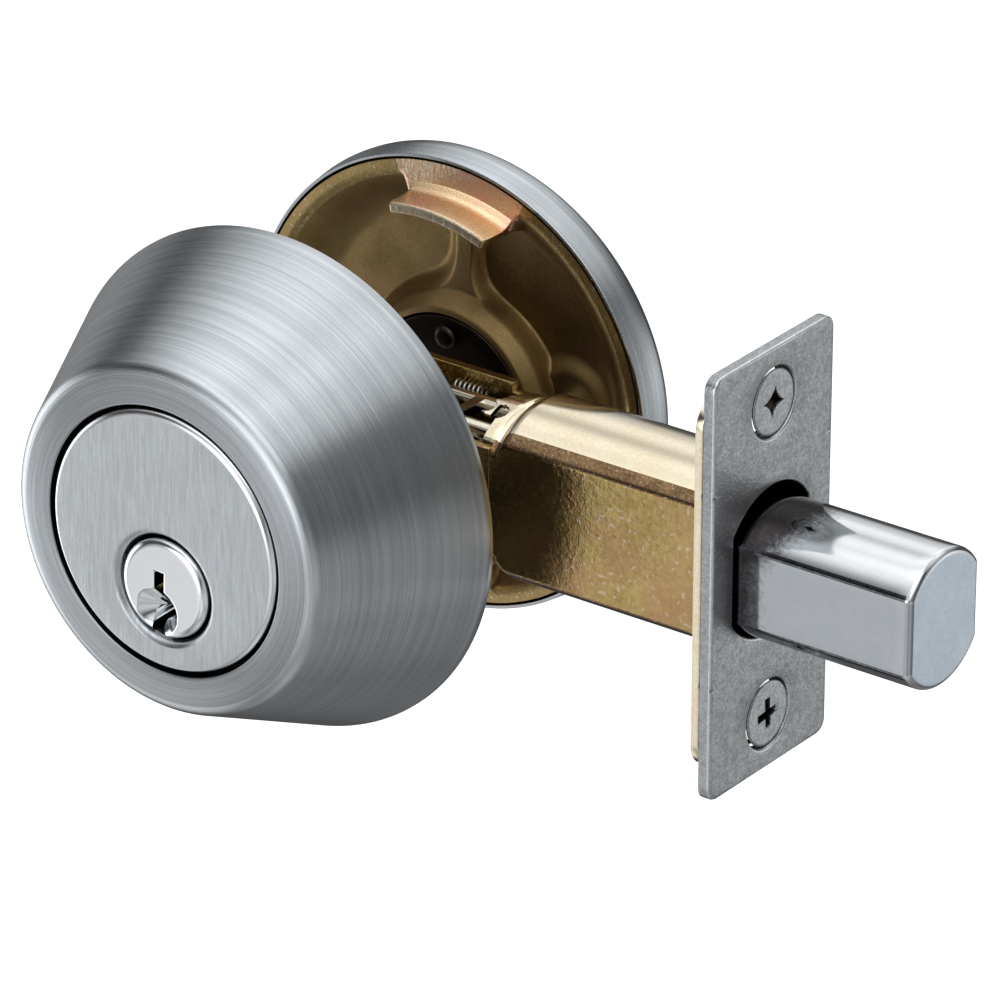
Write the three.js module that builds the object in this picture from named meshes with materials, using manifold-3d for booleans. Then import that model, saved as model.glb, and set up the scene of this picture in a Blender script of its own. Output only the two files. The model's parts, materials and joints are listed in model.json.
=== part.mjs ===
// Single-cylinder tubular deadbolt: tapered key cylinder outside, crank case and bolt through the door,
// and a dished rose with a thumbturn inside.
//
// Millimetres. +X is the way the bolt is thrown, -Y is the key side of the door, +Y the thumbturn side and
// +Z up. The origin is where the axis of the round face bore crosses the axis of the bolt bore, half way
// through the door. The bolt stands thrown.
import * as THREE from 'three';
import { mergeVertices } from 'three/addons/utils/BufferGeometryUtils.js';
import Module from 'manifold-3d';

const wasm = await Module();
wasm.setup();

// ---- Driving dimensions -------------------------------------------------------------------------------
const GAP = 0.3; // play between pieces that touch
const DOOR_THICKNESS = 34.925; // 1-3/8 in door
const DOOR_FRONT = -DOOR_THICKNESS / 2; // face under the collar
const DOOR_REAR = DOOR_THICKNESS / 2; // face under the rose
const BACKSET = 62.6; // face bore axis to the front of the faceplate
const THROW = 25.4; // travel of the bolt
const KEY_Z = -6.45; // height of the plug, crank and thumbturn axis
const COLLAR_FACE_Y = -40.9;
const COLLAR_BASE_R = 33.2;
const COLLAR_FACE_R = 22.95;
const FACE_DISC_R = 17.65;
const PLUG_R = 6.6;
const PIN_COUNT = 5;
const PIN_PITCH = 3.81;
const PIN_R = 1.35;
const KEY_CUTS = [0.2, 1.1, -0.3, 0.8, 0.4]; // height of each key pin's foot above the plug axis
const MOUNT_SCREW_X = 16.5; // mounting screws, left and right of the crank
const CRANK_ANGLE = Math.PI / 4; // finger's lean each side of upright
const CRANK_ARM = THROW / 2 / Math.sin(CRANK_ANGLE);
const CHEEK_OUT = 8.3; // outer face of the crank case and of the flats of the bolt tube
const CHEEK_T = 1.3;
const TAIL_Z = 7.0; // height of the tail rods
const TAIL_Y = 3.2;
const TUBE_R = 12;
const TUBE_REAR_X = 26; // shoulder between the neck and the full section
const NECK_REAR_X = 19;
const BOLT_R = 9.1;
const BOLT_FLAT = 7.5;
const BOLT_Z = -0.6; // the bolt hangs a little low in its plate
const BOLT_LENGTH = 35.5;
const PLATE_T = 1.6; // faceplate
const PLATE_W = 25.4;
const PLATE_H = 57.15;
const BACK_PLATE_T = 1.2;
const BACK_PLATE_H = 49.5;
const PLATE_SCREW_Z = 21.2;
const BOLT_HOLE_R = 10;
const BOLT_HOLE_FLAT = 8.1;
const ROSE_R = 31.4;
const ROSE_FACE_Y = 25;
const DISH_FLOOR_Y = 22.4;
const HUB_Z = -2.9; // centre of the raised ring round the spindle plate
const HUB_R = 12.3;
const TAB_R = 26.2; // tabs that centre the rose plate in the 54 mm bore
const TAB_END_Y = 12;

const PLATE_REAR_X = BACKSET - PLATE_T;
const BACK_FRONT_X = PLATE_REAR_X - GAP;
const BACK_REAR_X = BACK_FRONT_X - BACK_PLATE_T;
const TUBE_FRONT_X = BACK_REAR_X - GAP;
const BOLT_TIP_X = BACKSET + THROW;
const BOLT_REAR_X = BOLT_TIP_X - BOLT_LENGTH;
const CHEEK_IN = CHEEK_OUT - CHEEK_T;

const BIG = 44; // facets round a large circle
const MEDIUM = 26;
const SMALL = 14;

// ---- Finishes -----------------------------------------------------------------------------------------
const finish = (color, roughness, metalness) => ({ color, roughness, metalness });
const SATIN_NICKEL = finish(0xb4b8bb, 0.35, 1);
const PEWTER = finish(0x9c9ea0, 0.45, 1);
const CHROME = finish(0xd8dade, 0.12, 1);
const YELLOW_ZINC = finish(0xc9a24e, 0.3, 1);
const BRONZE_ZINC = finish(0x8c6d3c, 0.45, 1);
const BLACK_STEEL = finish(0x2b261f, 0.5, 1);
const BRASS = finish(0xc6a557, 0.3, 1);
const STEEL = finish(0x8f9296, 0.35, 1);

// ---- Solids -------------------------------------------------------------------------------------------
// Columns are the directions in which an outline's u and v and its depth run.
const AXES = {
  X: new THREE.Matrix4().makeBasis(
    new THREE.Vector3(0, 1, 0), new THREE.Vector3(0, 0, 1), new THREE.Vector3(1, 0, 0)),
  Y: new THREE.Matrix4().makeBasis(
    new THREE.Vector3(1, 0, 0), new THREE.Vector3(0, 0, 1), new THREE.Vector3(0, -1, 0)),
  Z: new THREE.Matrix4(),
};

// A closed geometry as a solid that booleans can use.
function solid(geometry) {
  const bare = geometry.clone();
  bare.deleteAttribute('normal');
  bare.deleteAttribute('uv');
  const merged = mergeVertices(bare, 1e-4);
  const at = merged.attributes.position;
  const corner = [0, 1, 2].map(() => new THREE.Vector3());
  const triangles = [];
  let volume = 0;
  for (let i = 0; i < merged.index.count; i += 3) {
    const [a, b, c] = [0, 1, 2].map((k) => merged.index.getX(i + k));
    if (a === b || b === c || c === a) continue;
    [a, b, c].forEach((index, k) => corner[k].fromBufferAttribute(at, index));
    volume += corner[0].dot(corner[1].clone().cross(corner[2]));
    triangles.push([a, b, c]);
  }
  const facing = volume < 0 ? triangles.map(([a, b, c]) => [a, c, b]) : triangles;
  return new wasm.Manifold(new wasm.Mesh({
    numProp: 3,
    vertProperties: new Float32Array(at.array),
    triVerts: new Uint32Array(facing.flat()),
  }));
}

// An outline pushed along one axis. Outlines read (Y, Z) along X, (X, Z) along Y and (X, Y) along Z.
function extrude(axis, shape, from, to, curveSegments = 8) {
  const geometry = new THREE.ExtrudeGeometry(shape, { depth: to - from, bevelEnabled: false, curveSegments });
  geometry.applyMatrix4(AXES[axis]);
  const start = { X: [from, 0, 0], Y: [0, to, 0], Z: [0, 0, from] }[axis];
  geometry.translate(...start);
  return solid(geometry);
}

// A ring or disc turned about an axis through (u, v). The profile lists [radius, distance along the axis].
function turned(axis, profile, u = 0, v = 0, segments = MEDIUM) {
  const points = profile.map(([r, along]) => new THREE.Vector2(r, along));
  const geometry = new THREE.LatheGeometry(points, segments);
  if (axis === 'X') geometry.rotateZ(-Math.PI / 2);
  if (axis === 'Z') geometry.rotateX(Math.PI / 2);
  const centre = { X: [0, u, v], Y: [u, 0, v], Z: [u, v, 0] }[axis];
  geometry.translate(...centre);
  return solid(geometry);
}

const rod = (axis, r, from, to, u = 0, v = 0, segments = SMALL) =>
  turned(axis, [[0, from], [r, from], [r, to], [0, to]], u, v, segments);

const ring = (axis, inner, outer, from, to, u = 0, v = 0, segments = MEDIUM) =>
  turned(axis, [[inner, from], [outer, from], [outer, to], [inner, to], [inner, from]], u, v, segments);

function block(x0, x1, y0, y1, z0, z1) {
  const geometry = new THREE.BoxGeometry(x1 - x0, y1 - y0, z1 - z0);
  geometry.translate((x0 + x1) / 2, (y0 + y1) / 2, (z0 + z1) / 2);
  return solid(geometry);
}

const addAll = (first, ...rest) => rest.reduce((sum, next) => sum.add(next), first);
const cutAll = (first, ...rest) => rest.reduce((sum, next) => sum.subtract(next), first);

// ---- Outlines -----------------------------------------------------------------------------------------
const polygon = (points) => new THREE.Shape(points.map(([u, v]) => new THREE.Vector2(u, v)));

// A circle with a flat on its left and right.
function doubleD(radius, flat, v = 0) {
  const lean = Math.acos(flat / radius);
  const shape = new THREE.Shape();
  shape.absarc(0, v, radius, lean, Math.PI - lean);
  shape.absarc(0, v, radius, Math.PI + lean, 2 * Math.PI - lean);
  shape.closePath();
  return shape;
}

function roundedRect(width, height, radius, v = 0) {
  const [w, h] = [width / 2 - radius, height / 2 - radius];
  const shape = new THREE.Shape();
  const corners = [[w, h, 0], [-w, h, 0.5], [-w, -h, 1], [w, -h, 1.5]];
  corners.forEach(([u, t, turn]) => shape.absarc(u, v + t, radius, turn * Math.PI, (turn + 0.5) * Math.PI));
  shape.closePath();
  return shape;
}

// A piece of a flat ring, angles in degrees from +u towards +v.
function sector(inner, outer, fromDegrees, toDegrees) {
  const [from, to] = [THREE.MathUtils.degToRad(fromDegrees), THREE.MathUtils.degToRad(toDegrees)];
  const shape = new THREE.Shape();
  shape.absarc(0, 0, outer, from, to);
  shape.absarc(0, 0, inner, to, from, true);
  shape.closePath();
  return shape;
}

// ---- Scene graph --------------------------------------------------------------------------------------
const group = new THREE.Group();
const keyAxis = new THREE.Group(); // everything centred on the plug, crank and thumbturn axis
keyAxis.position.z = KEY_Z;
group.add(keyAxis);

function place(parent, name, shape, look) {
  const { vertProperties, triVerts } = shape.getMesh();
  const geometry = new THREE.BufferGeometry();
  geometry.setAttribute('position', new THREE.BufferAttribute(vertProperties, 3));
  geometry.setIndex(new THREE.BufferAttribute(triVerts, 1));
  geometry.computeVertexNormals();
  const mesh = new THREE.Mesh(geometry, new THREE.MeshStandardMaterial(look));
  mesh.name = name;
  parent.add(mesh);
}

// ---- Key side -----------------------------------------------------------------------------------------
const HOUSING_REAR_Y = -15.5;
const FLANGE_Y = -35.6; // rear of the housing's front flange
const POST_REAR_Y = -19;
const FIRST_PIN_Y = -35;
const SPACING = Array.from({ length: PIN_COUNT }, (_, i) => FIRST_PIN_Y + i * PIN_PITCH);
const SHEAR = PLUG_R + GAP; // radius of the plug's bore
const TOWER_TOP = 13.2;
const CHAMBER_R = PIN_R + GAP;

function cylinderCollar() {
  const face = COLLAR_FACE_Y;
  return turned('Y', [
    [17.95, face + 0.4], [18.3, face], [21.3, face], [22.3, face + 0.3], [COLLAR_FACE_R, face + 1],
    [COLLAR_BASE_R, DOOR_FRONT - 0.9], [COLLAR_BASE_R, DOOR_FRONT], [31.2, DOOR_FRONT],
    [21.2, face + 2.7], [17.95, face + 2.7], [17.95, face + 0.4],
  ], 0, 0, BIG);
}

const collarSupportRing = () => ring('Y', 21.2, 28.9, DOOR_FRONT - 3.8, DOOR_FRONT - 1.8, 0, 0, MEDIUM);

function cylinderHousing() {
  const front = COLLAR_FACE_Y + 0.15;
  const head = turned('Y', [
    [0, front], [17.1, front], [FACE_DISC_R, front + 0.5], [FACE_DISC_R, front + 2.9],
    [19.8, front + 2.9], [19.8, FLANGE_Y], [0, FLANGE_Y],
  ], 0, 0, BIG);
  const posts = [-1, 1].map((side) => addAll(
    rod('Y', 4, FLANGE_Y - 1, POST_REAR_Y, side * MOUNT_SCREW_X, 0, 16),
    block(Math.min(side * 6, side * 15), Math.max(side * 6, side * 15), FLANGE_Y - 1, -24, -2, 2),
  ));
  const body = addAll(
    head,
    rod('Y', 9.4, FLANGE_Y - 1, HOUSING_REAR_Y, 0, KEY_Z, MEDIUM),
    block(-4, 4, FLANGE_Y - 1, HOUSING_REAR_Y, KEY_Z, TOWER_TOP),
    ...posts,
  );
  const holes = [
    rod('Y', SHEAR, front - 1, HOUSING_REAR_Y + 1, 0, KEY_Z, MEDIUM),
    turned('Y', [[0, front - 1], [SHEAR + 1.45, front - 1], [SHEAR, front + 0.45], [0, front + 0.45]],
      0, KEY_Z, MEDIUM),
    ...SPACING.map((y) => rod('Z', CHAMBER_R, KEY_Z + 5, TOWER_TOP + 1, 0, y, 8)),
    ...[-1, 1].map((side) => rod('Y', 2.35, -33, POST_REAR_Y + 1, side * MOUNT_SCREW_X, 0, 12)),
    ...[-1, 1].map((side) => rod('Y', 1.3, -39.5, FLANGE_Y + 1, side * 12.3, KEY_Z, 10)),
  ];
  return cutAll(body, ...holes);
}

// Along the plug axis: body, groove for the clip, tail and two drive lugs; keyway and pin holes cut out.
function keyPlug() {
  const face = COLLAR_FACE_Y - 0.15;
  const body = addAll(
    turned('Y', [
      [0, face], [PLUG_R - 0.4, face], [PLUG_R, face + 0.4], [PLUG_R, HOUSING_REAR_Y + 0.2],
      [4.9, HOUSING_REAR_Y + 0.2], [4.9, -14], [6, -14], [6, -13], [0, -13],
    ], 0, 0, MEDIUM),
    block(-5.4, -3, -13.2, -12.1, -1.2, 1.2),
    block(3, 5.4, -13.2, -12.1, -1.2, 1.2),
  );
  const keyway = polygon([
    [-1.35, 2.35], [0.2, 2.2], [0.12, -1.4], [0.1, -2.5], [1.15, -2.85], [1.05, -4.1], [-0.55, -4.8],
    [-0.55, -5.6], [0.05, -6.3], [0.05, -7.2], [-2.2, -7.2], [-2.2, -3.9], [-1.9, -3.45], [-1, -3.3],
    [-0.35, -2.75], [-0.98, -1.74], [-1.4, -0.1],
  ]);
  const mouth = turned('Y', [[0, face - 1], [3.2, face - 1], [3.2, face], [0.2, face + 3], [0, face + 3]],
    -0.95, -3.4, 20);
  return cutAll(
    body,
    extrude('Y', keyway, face - 1, -16.4),
    mouth,
    ...SPACING.map((y) => rod('Z', CHAMBER_R, -1, SHEAR, 0, y, 8)),
  );
}

const keyPin = (i) => turned('Z', [
  [0, KEY_CUTS[i] - 0.7], [0.6, KEY_CUTS[i] - 0.7], [PIN_R, KEY_CUTS[i] + 0.2],
  [PIN_R, PLUG_R - 0.25], [0, PLUG_R - 0.25],
], 0, SPACING[i], 8);

const driverPin = (i) => rod('Z', PIN_R, SHEAR - 0.05, SHEAR + 4, 0, SPACING[i], 8);
const pinSpring = (i) =>
  ring('Z', 0.85, PIN_R, SHEAR + 4.2, TOWER_TOP - KEY_Z - 0.15, 0, SPACING[i], 8);
const pinChamberCap = () => block(-4, 4, FLANGE_Y + GAP, HOUSING_REAR_Y, TOWER_TOP + GAP, TOWER_TOP + 1.1);
const drillPin = (side) => rod('Y', 1, -39.2, FLANGE_Y, side * 12.3, KEY_Z, 10);

const plugRetainerClip = () => ring('Y', 5.2, 8.4, HOUSING_REAR_Y + 0.4, -14.3, 0, 0, 24)
  .subtract(block(-2.2, 2.2, -16, -14, -9, 0));

const tailpieceCap = () => turned('Y', [
  [8.7, HOUSING_REAR_Y + 0.4], [9.5, HOUSING_REAR_Y + 0.4], [9.5, -9.3], [3.9, -9.3], [3.9, -10.1],
  [8.7, -10.1], [8.7, HOUSING_REAR_Y + 0.4],
], 0, 0, 24);

const BLADE_END_Y = 25.4;
const BLADE_HALF = [1, 3.25]; // half thickness and half width of the tail blade
const tailpiece = () => rod('Y', 6.5, -11.7, -10.5, 0, 0, 20)
  .add(block(-BLADE_HALF[0], BLADE_HALF[0], -10.8, BLADE_END_Y, -BLADE_HALF[1], BLADE_HALF[1]));

// ---- Crank case and bolt ------------------------------------------------------------------------------
const SPACERS = [[-12.5, -9], [9.5, -11.6], [22, -6.3]];
const CHEEK_TOP = 8.9;
const CHEEK_REAR_X = -17.5;
const JOURNAL_R = 5;

function cheek(side) {
  const outline = polygon([
    [CHEEK_REAR_X, CHEEK_TOP], [18.2, CHEEK_TOP], [18.2, 7.6], [TUBE_REAR_X - GAP, 7.6],
    [TUBE_REAR_X - GAP, -CHEEK_TOP], [16, -CHEEK_TOP], [10, -14.5], [-10, -14.5], [CHEEK_REAR_X, -CHEEK_TOP],
  ]);
  const [from, to] = side < 0 ? [-CHEEK_OUT, -CHEEK_IN] : [CHEEK_IN, CHEEK_OUT];
  return cutAll(
    extrude('Y', outline, from, to),
    rod('Y', JOURNAL_R + GAP, -10, 10, 0, KEY_Z, 28),
    ...[-1, 1].map((end) => rod('Y', 2.6, -10, 10, end * MOUNT_SCREW_X, 0, 14)),
    ...SPACERS.map(([x, z]) => rod('Y', 1.6, -10, 10, x, z, 10)),
  );
}

const caseSpacer = ([x, z]) => turned('Y', [
  [0, -9.3], [2.1, -9.3], [2.1, -8.6], [1.3, -8.6], [1.3, 8.6], [2.1, 8.6], [2.1, 9.3], [0, 9.3],
], x, z, 10);

// Hub with a journal in each cheek and a tapered finger that reaches up between the tail rods.
function crank() {
  const hub = turned('Y', [
    [0, -8.7], [JOURNAL_R, -8.7], [JOURNAL_R, -6.7], [6.2, -6.7],
    [6.2, 6.7], [JOURNAL_R, 6.7], [JOURNAL_R, 8.7], [0, 8.7],
  ], 0, 0, 28);
  const tipR = 1.5;
  const finger = new THREE.Shape();
  finger.moveTo(-1.1, 0);
  finger.lineTo(1.1, 0);
  finger.absarc(0, CRANK_ARM, tipR, 0, Math.PI);
  const arm = new THREE.ExtrudeGeometry(finger, { depth: 3.2, bevelEnabled: false, curveSegments: 6 });
  arm.applyMatrix4(AXES.Y);
  arm.translate(0, 1.6, 0);
  arm.rotateY(CRANK_ANGLE);
  const slot = block(-BLADE_HALF[0] - GAP, BLADE_HALF[0] + GAP, -9, 9, -BLADE_HALF[1] - GAP, BLADE_HALF[1] + GAP);
  return hub.add(solid(arm)).subtract(slot);
}

const detentSpring = () => ring('X', 0.6, 1, 7.5, 17, 5.65, 6.9, 12);

// Two rods joined by cross bars. The finger works in the window between the rear pair of bars.
const TAIL_REAR_X = 8.3;
const BLOCK_REAR_X = 46;
function boltTail() {
  const windowHalf = 2.9;
  const middle = THROW / 2;
  const bar = 1.5;
  return addAll(
    rod('X', 1.1, TAIL_REAR_X, BLOCK_REAR_X + 4, -TAIL_Y, TAIL_Z, 12),
    rod('X', 1.1, TAIL_REAR_X, BLOCK_REAR_X + 4, TAIL_Y, TAIL_Z, 12),
    block(middle - windowHalf - bar, middle - windowHalf, -TAIL_Y, TAIL_Y, TAIL_Z - 0.4, TAIL_Z + 1),
    block(middle + windowHalf, middle + windowHalf + bar, -TAIL_Y, TAIL_Y, TAIL_Z - 0.4, TAIL_Z + 1),
    block(BLOCK_REAR_X - 2.5, BLOCK_REAR_X - 1, -TAIL_Y, TAIL_Y, TAIL_Z - 0.6, TAIL_Z + 0.6),
  );
}

const TAIL_PIN_X = BOLT_REAR_X + 2.8;
function boltTailBlock() {
  const outline = polygon([[-5.1, -4], [5.1, -4], [5.1, 7.2], [3.9, 8.9], [-3.9, 8.9], [-5.1, 7.2]]);
  return cutAll(
    extrude('X', outline, BLOCK_REAR_X, BOLT_REAR_X - GAP).add(
      block(BOLT_REAR_X - 1, BOLT_REAR_X + 5.5, -2, 2, -4, 3)),
    rod('X', 1.35, BLOCK_REAR_X - 1, BLOCK_REAR_X + 4.4, -TAIL_Y, TAIL_Z, 12),
    rod('X', 1.35, BLOCK_REAR_X - 1, BLOCK_REAR_X + 4.4, TAIL_Y, TAIL_Z, 12),
    rod('Y', 1.5, -3, 3, TAIL_PIN_X, BOLT_Z, 12),
  );
}

const tailPin = () => rod('Y', 1.2, -BOLT_FLAT + 0.2, BOLT_FLAT - 0.2, TAIL_PIN_X, BOLT_Z, 12);

function bolt() {
  const chamfer = 0.8;
  const section = doubleD(BOLT_R, BOLT_FLAT, BOLT_Z);
  const nose = turned('X', [
    [0, BOLT_REAR_X - 1], [BOLT_R + 1, BOLT_REAR_X - 1], [BOLT_R + 1, BOLT_TIP_X - chamfer - 1],
    [BOLT_R - chamfer, BOLT_TIP_X], [0, BOLT_TIP_X],
  ], 0, BOLT_Z, BIG);
  return cutAll(
    extrude('X', section, BOLT_REAR_X, BOLT_TIP_X, 10).intersect(nose),
    block(BOLT_REAR_X - 1, BOLT_REAR_X + 5.8, -2.3, 2.3, -4.3, 3.3),
    rod('X', 2, BOLT_REAR_X + 5, BOLT_REAR_X + 31, 0, BOLT_Z, 14),
    rod('Y', 1.5, -10, 10, TAIL_PIN_X, BOLT_Z, 12),
  );
}

const boltHardenedPin = () => rod('X', 1.7, BOLT_REAR_X + 6.2, BOLT_REAR_X + 30.5, 0, BOLT_Z, 14);

function boltTube() {
  const wall = 0.6;
  const neckR = 11;
  const neckFlat = CHEEK_IN - GAP;
  return cutAll(
    addAll(
      extrude('X', doubleD(TUBE_R, CHEEK_OUT), TUBE_REAR_X, TUBE_FRONT_X, 10),
      extrude('X', doubleD(neckR, neckFlat), NECK_REAR_X, TUBE_REAR_X + 1, 10),
    ),
    extrude('X', doubleD(TUBE_R - wall, CHEEK_OUT - wall), TUBE_REAR_X + 0.8, TUBE_FRONT_X + 1, 10),
    extrude('X', doubleD(neckR - 0.9, neckFlat - 0.9), NECK_REAR_X + 1, TUBE_REAR_X + 2, 10),
    block(NECK_REAR_X - 1, NECK_REAR_X + 1.5, -5, 5, 5.2, 9.2),
    extrude('Z', roundedRect(5, 4, 1.2), 8, 12, 2).translate([22.3, 1.2, 0]),
    rod('Y', 1.6, -10, 10, ...SPACERS[2], 10),
  );
}

// ---- Edge of the door ---------------------------------------------------------------------------------
const screwSeat = (z) => turned('X', [
  [0, BACK_REAR_X - 1], [2.3, BACK_REAR_X - 1], [2.3, BACKSET - 2.3], [5.6, BACKSET + 1], [0, BACKSET + 1],
], 0, z, 18);

function edgePlate(height, radius, from, to) {
  return cutAll(
    extrude('X', roundedRect(PLATE_W, height, radius), from, to, 3),
    extrude('X', doubleD(BOLT_HOLE_R, BOLT_HOLE_FLAT), from - 1, to + 1, 8),
    screwSeat(PLATE_SCREW_Z),
    screwSeat(-PLATE_SCREW_Z),
  );
}

const faceplate = () => edgePlate(PLATE_H, 1.8, PLATE_REAR_X, BACKSET);
const backPlate = () => edgePlate(BACK_PLATE_H, 3.5, BACK_REAR_X, BACK_FRONT_X);

// Flat head with a cross recess, turned by the given angle about the screw.
function faceplateScrew(z, turn) {
  const front = BACKSET - 0.1;
  const body = turned('X', [
    [0, 55], [1.2, 55], [2, 56], [2, front - 2.3], [4.3, front], [0, front],
  ], 0, 0, 18);
  const arm = block(front - 1.3, front + 1, -0.5, 0.5, -2.3, 2.3);
  const cross = arm.add(arm.rotate([90, 0, 0]));
  return body.subtract(cross.rotate([turn, 0, 0])).translate([0, 0, z]);
}

// ---- Thumbturn side -----------------------------------------------------------------------------------
const RIVETS = [[0, 6.5], [8.9, -4.5], [-8.9, -4.5]];

// Dished plate: bowl, centring tabs on their pads, a rib to each, the hub ring and the screw seats.
function mountingPlate() {
  const floor = DISH_FLOOR_Y;
  const sunk = floor + 0.4; // raised features are rooted in the floor
  const level = DOOR_REAR + 0.05;
  const [hubTop, hubFoot] = [HUB_Z + HUB_R + 0.5, HUB_Z - HUB_R - 0.5];
  const bowl = turned('Y', [
    [0, floor], [23.5, floor], [26.5, 21.6], [28.2, 20], [29.2, DOOR_REAR], [30.2, DOOR_REAR], [30.2, 20.3],
    [29.9, 21.5], [29.2, 22.6], [28.2, 23.3], [26.6, 23.7], [0, 23.7],
  ], 0, 0, BIG);
  const raised = [0, 180].flatMap((turn) => [
    extrude('Y', sector(25.6, 29.6, 67 + turn, 104.5 + turn), level, sunk - 1.4, 6),
    extrude('Y', sector(TAB_R - 1.5, TAB_R, 68 + turn, 103 + turn), TAB_END_Y, sunk, 6),
    block(-1.6, 1.6, level, sunk, turn ? -25.8 : hubTop, turn ? hubFoot : 25.8),
  ]);
  const seats = [-1, 1].map((side) => rod('Y', 5, 19.2, sunk, side * MOUNT_SCREW_X, 0, 20));
  const bosses = RIVETS.map(([x, z]) => rod('Y', 1.8, 19, sunk, x, z, 10));
  const hub = ring('Y', HUB_R, HUB_R + 1.1, level, sunk, 0, HUB_Z, MEDIUM);
  return cutAll(
    addAll(bowl, hub, ...raised, ...seats, ...bosses),
    rod('Y', 5.8, 15, 25, 0, KEY_Z, 24),
    ...[-1, 1].map((side) => addAll(
      rod('Y', 4.2, 20.4, 25, side * MOUNT_SCREW_X, 0, 16),
      rod('Y', 2.4, 15, 25, side * MOUNT_SCREW_X, 0, 12),
    )),
    ...RIVETS.map(([x, z]) => rod('Y', 1.2, 15, 25, x, z, 8)),
  );
}

function roseCover() {
  const face = ROSE_FACE_Y;
  const shell = turned('Y', [
    [0, face - 0.9], [26.8, face - 0.9], [28.5, face - 1.2], [29.6, face - 2], [30.3, face - 3.1],
    [30.5, face - 4.5], [30.5, DOOR_REAR], [31, DOOR_REAR], [ROSE_R, face - 4.5], [ROSE_R - 0.2, face - 2.8],
    [ROSE_R - 1, face - 1.4], [ROSE_R - 2.4, face - 0.4], [27, face], [0, face],
  ], 0, 0, BIG);
  return shell.subtract(rod('Y', 6.2, 20, 30, 0, KEY_Z, 24));
}

const spindlePlate = () => cutAll(
  rod('Y', HUB_R - GAP, DOOR_REAR + 0.15, 18.7, 0, HUB_Z, MEDIUM),
  rod('Y', 4.2, 15, 20, 0, KEY_Z, 20),
  ...RIVETS.map(([x, z]) => rod('Y', 1.2, 15, 20, x, z, 8)),
);

const plateRivet = ([x, z]) => turned('Y', [
  [0, 16.5], [1.1, 16.65], [1.7, 17.2], [0.9, 17.35], [0.9, 23.5], [0, 23.5],
], x, z, 12);

const springWasher = () => ring('Y', 4.5, 6.6, 18.95, 19.3, 0, 0, 24);

function thumbturnSpindle() {
  return cutAll(
    turned('Y', [[0, 19.6], [6.8, 19.6], [6.8, 21.2], [5.5, 21.2], [5.5, 27.6], [0, 27.6]], 0, 0, 24),
    block(-BLADE_HALF[0] - GAP, BLADE_HALF[0] + GAP, 18, 25.8, -BLADE_HALF[1] - GAP, BLADE_HALF[1] + GAP),
    rod('X', 1.1, -8, 8, 26.9, 0, 10),
  );
}

// Round foot and an upright grip.
function thumbturn() {
  const foot = turned('Y', [
    [0, 25.4], [9.5, 25.4], [9.5, 27.6], [8.6, 28.6], [0, 28.6],
  ], 0, 0, MEDIUM);
  const paddle = roundedRect(20, 27, 6);
  const grip = extrude('X', paddle, -3.1, 3.1, 5).translate([0, 34, 0]).subtract(block(-5, 5, 20, 27, -20, 20));
  return cutAll(foot.add(grip), rod('Y', 5.8, 20, 27.9, 0, 0, 24), rod('X', 1.1, -12, 12, 26.9, 0, 10));
}

const thumbturnPin = () => rod('X', 0.8, -8.9, 8.9, 26.9, 0, 10);

function mountingScrew(side) {
  const seat = 20.7;
  const body = turned('Y', [
    [0, -31], [1.2, -31], [2, -29.8], [2, seat], [3.7, seat], [3.7, seat + 1.2], [3, seat + 2.1], [0, seat + 2.1],
  ], 0, 0, SMALL);
  const cross = block(-0.5, 0.5, seat + 0.9, seat + 3, -2, 2).add(block(-2, 2, seat + 0.9, seat + 3, -0.5, 0.5));
  return body.subtract(cross).translate([side * MOUNT_SCREW_X, 0, 0]);
}

// ---- Assembly -----------------------------------------------------------------------------------------
place(group, 'cylinder_collar', cylinderCollar(), SATIN_NICKEL);
place(group, 'collar_support_ring', collarSupportRing(), STEEL);
place(group, 'cylinder_housing', cylinderHousing(), SATIN_NICKEL);
place(group, 'pin_chamber_cap', pinChamberCap(), BRASS);
place(group, 'drill_pin_left', drillPin(-1), STEEL);
place(group, 'drill_pin_right', drillPin(1), STEEL);
place(keyAxis, 'key_plug', keyPlug(), CHROME);
for (let i = 0; i < PIN_COUNT; i += 1) {
  place(keyAxis, `key_pin_${i + 1}`, keyPin(i), BRASS);
  place(keyAxis, `driver_pin_${i + 1}`, driverPin(i), BRASS);
  place(keyAxis, `pin_spring_${i + 1}`, pinSpring(i), STEEL);
}
place(keyAxis, 'plug_retainer_clip', plugRetainerClip(), STEEL);
place(keyAxis, 'tailpiece_cap', tailpieceCap(), BRASS);
place(keyAxis, 'tailpiece', tailpiece(), STEEL);

place(group, 'crank_case_near', cheek(-1), YELLOW_ZINC);
place(group, 'crank_case_far', cheek(1), YELLOW_ZINC);
SPACERS.forEach((at, i) => place(group, `case_spacer_${i + 1}`, caseSpacer(at), STEEL));
place(keyAxis, 'crank', crank(), STEEL);
place(group, 'detent_spring', detentSpring(), STEEL);
place(group, 'bolt_tube', boltTube(), YELLOW_ZINC);
place(group, 'bolt', bolt(), CHROME);
place(group, 'bolt_hardened_pin', boltHardenedPin(), STEEL);
place(group, 'bolt_tail', boltTail(), STEEL);
place(group, 'bolt_tail_block', boltTailBlock(), STEEL);
place(group, 'bolt_tail_pin', tailPin(), STEEL);

place(group, 'faceplate', faceplate(), PEWTER);
place(group, 'back_plate', backPlate(), YELLOW_ZINC);
place(group, 'faceplate_screw_upper', faceplateScrew(PLATE_SCREW_Z, 38), PEWTER);
place(group, 'faceplate_screw_lower', faceplateScrew(-PLATE_SCREW_Z, 8), PEWTER);

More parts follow.
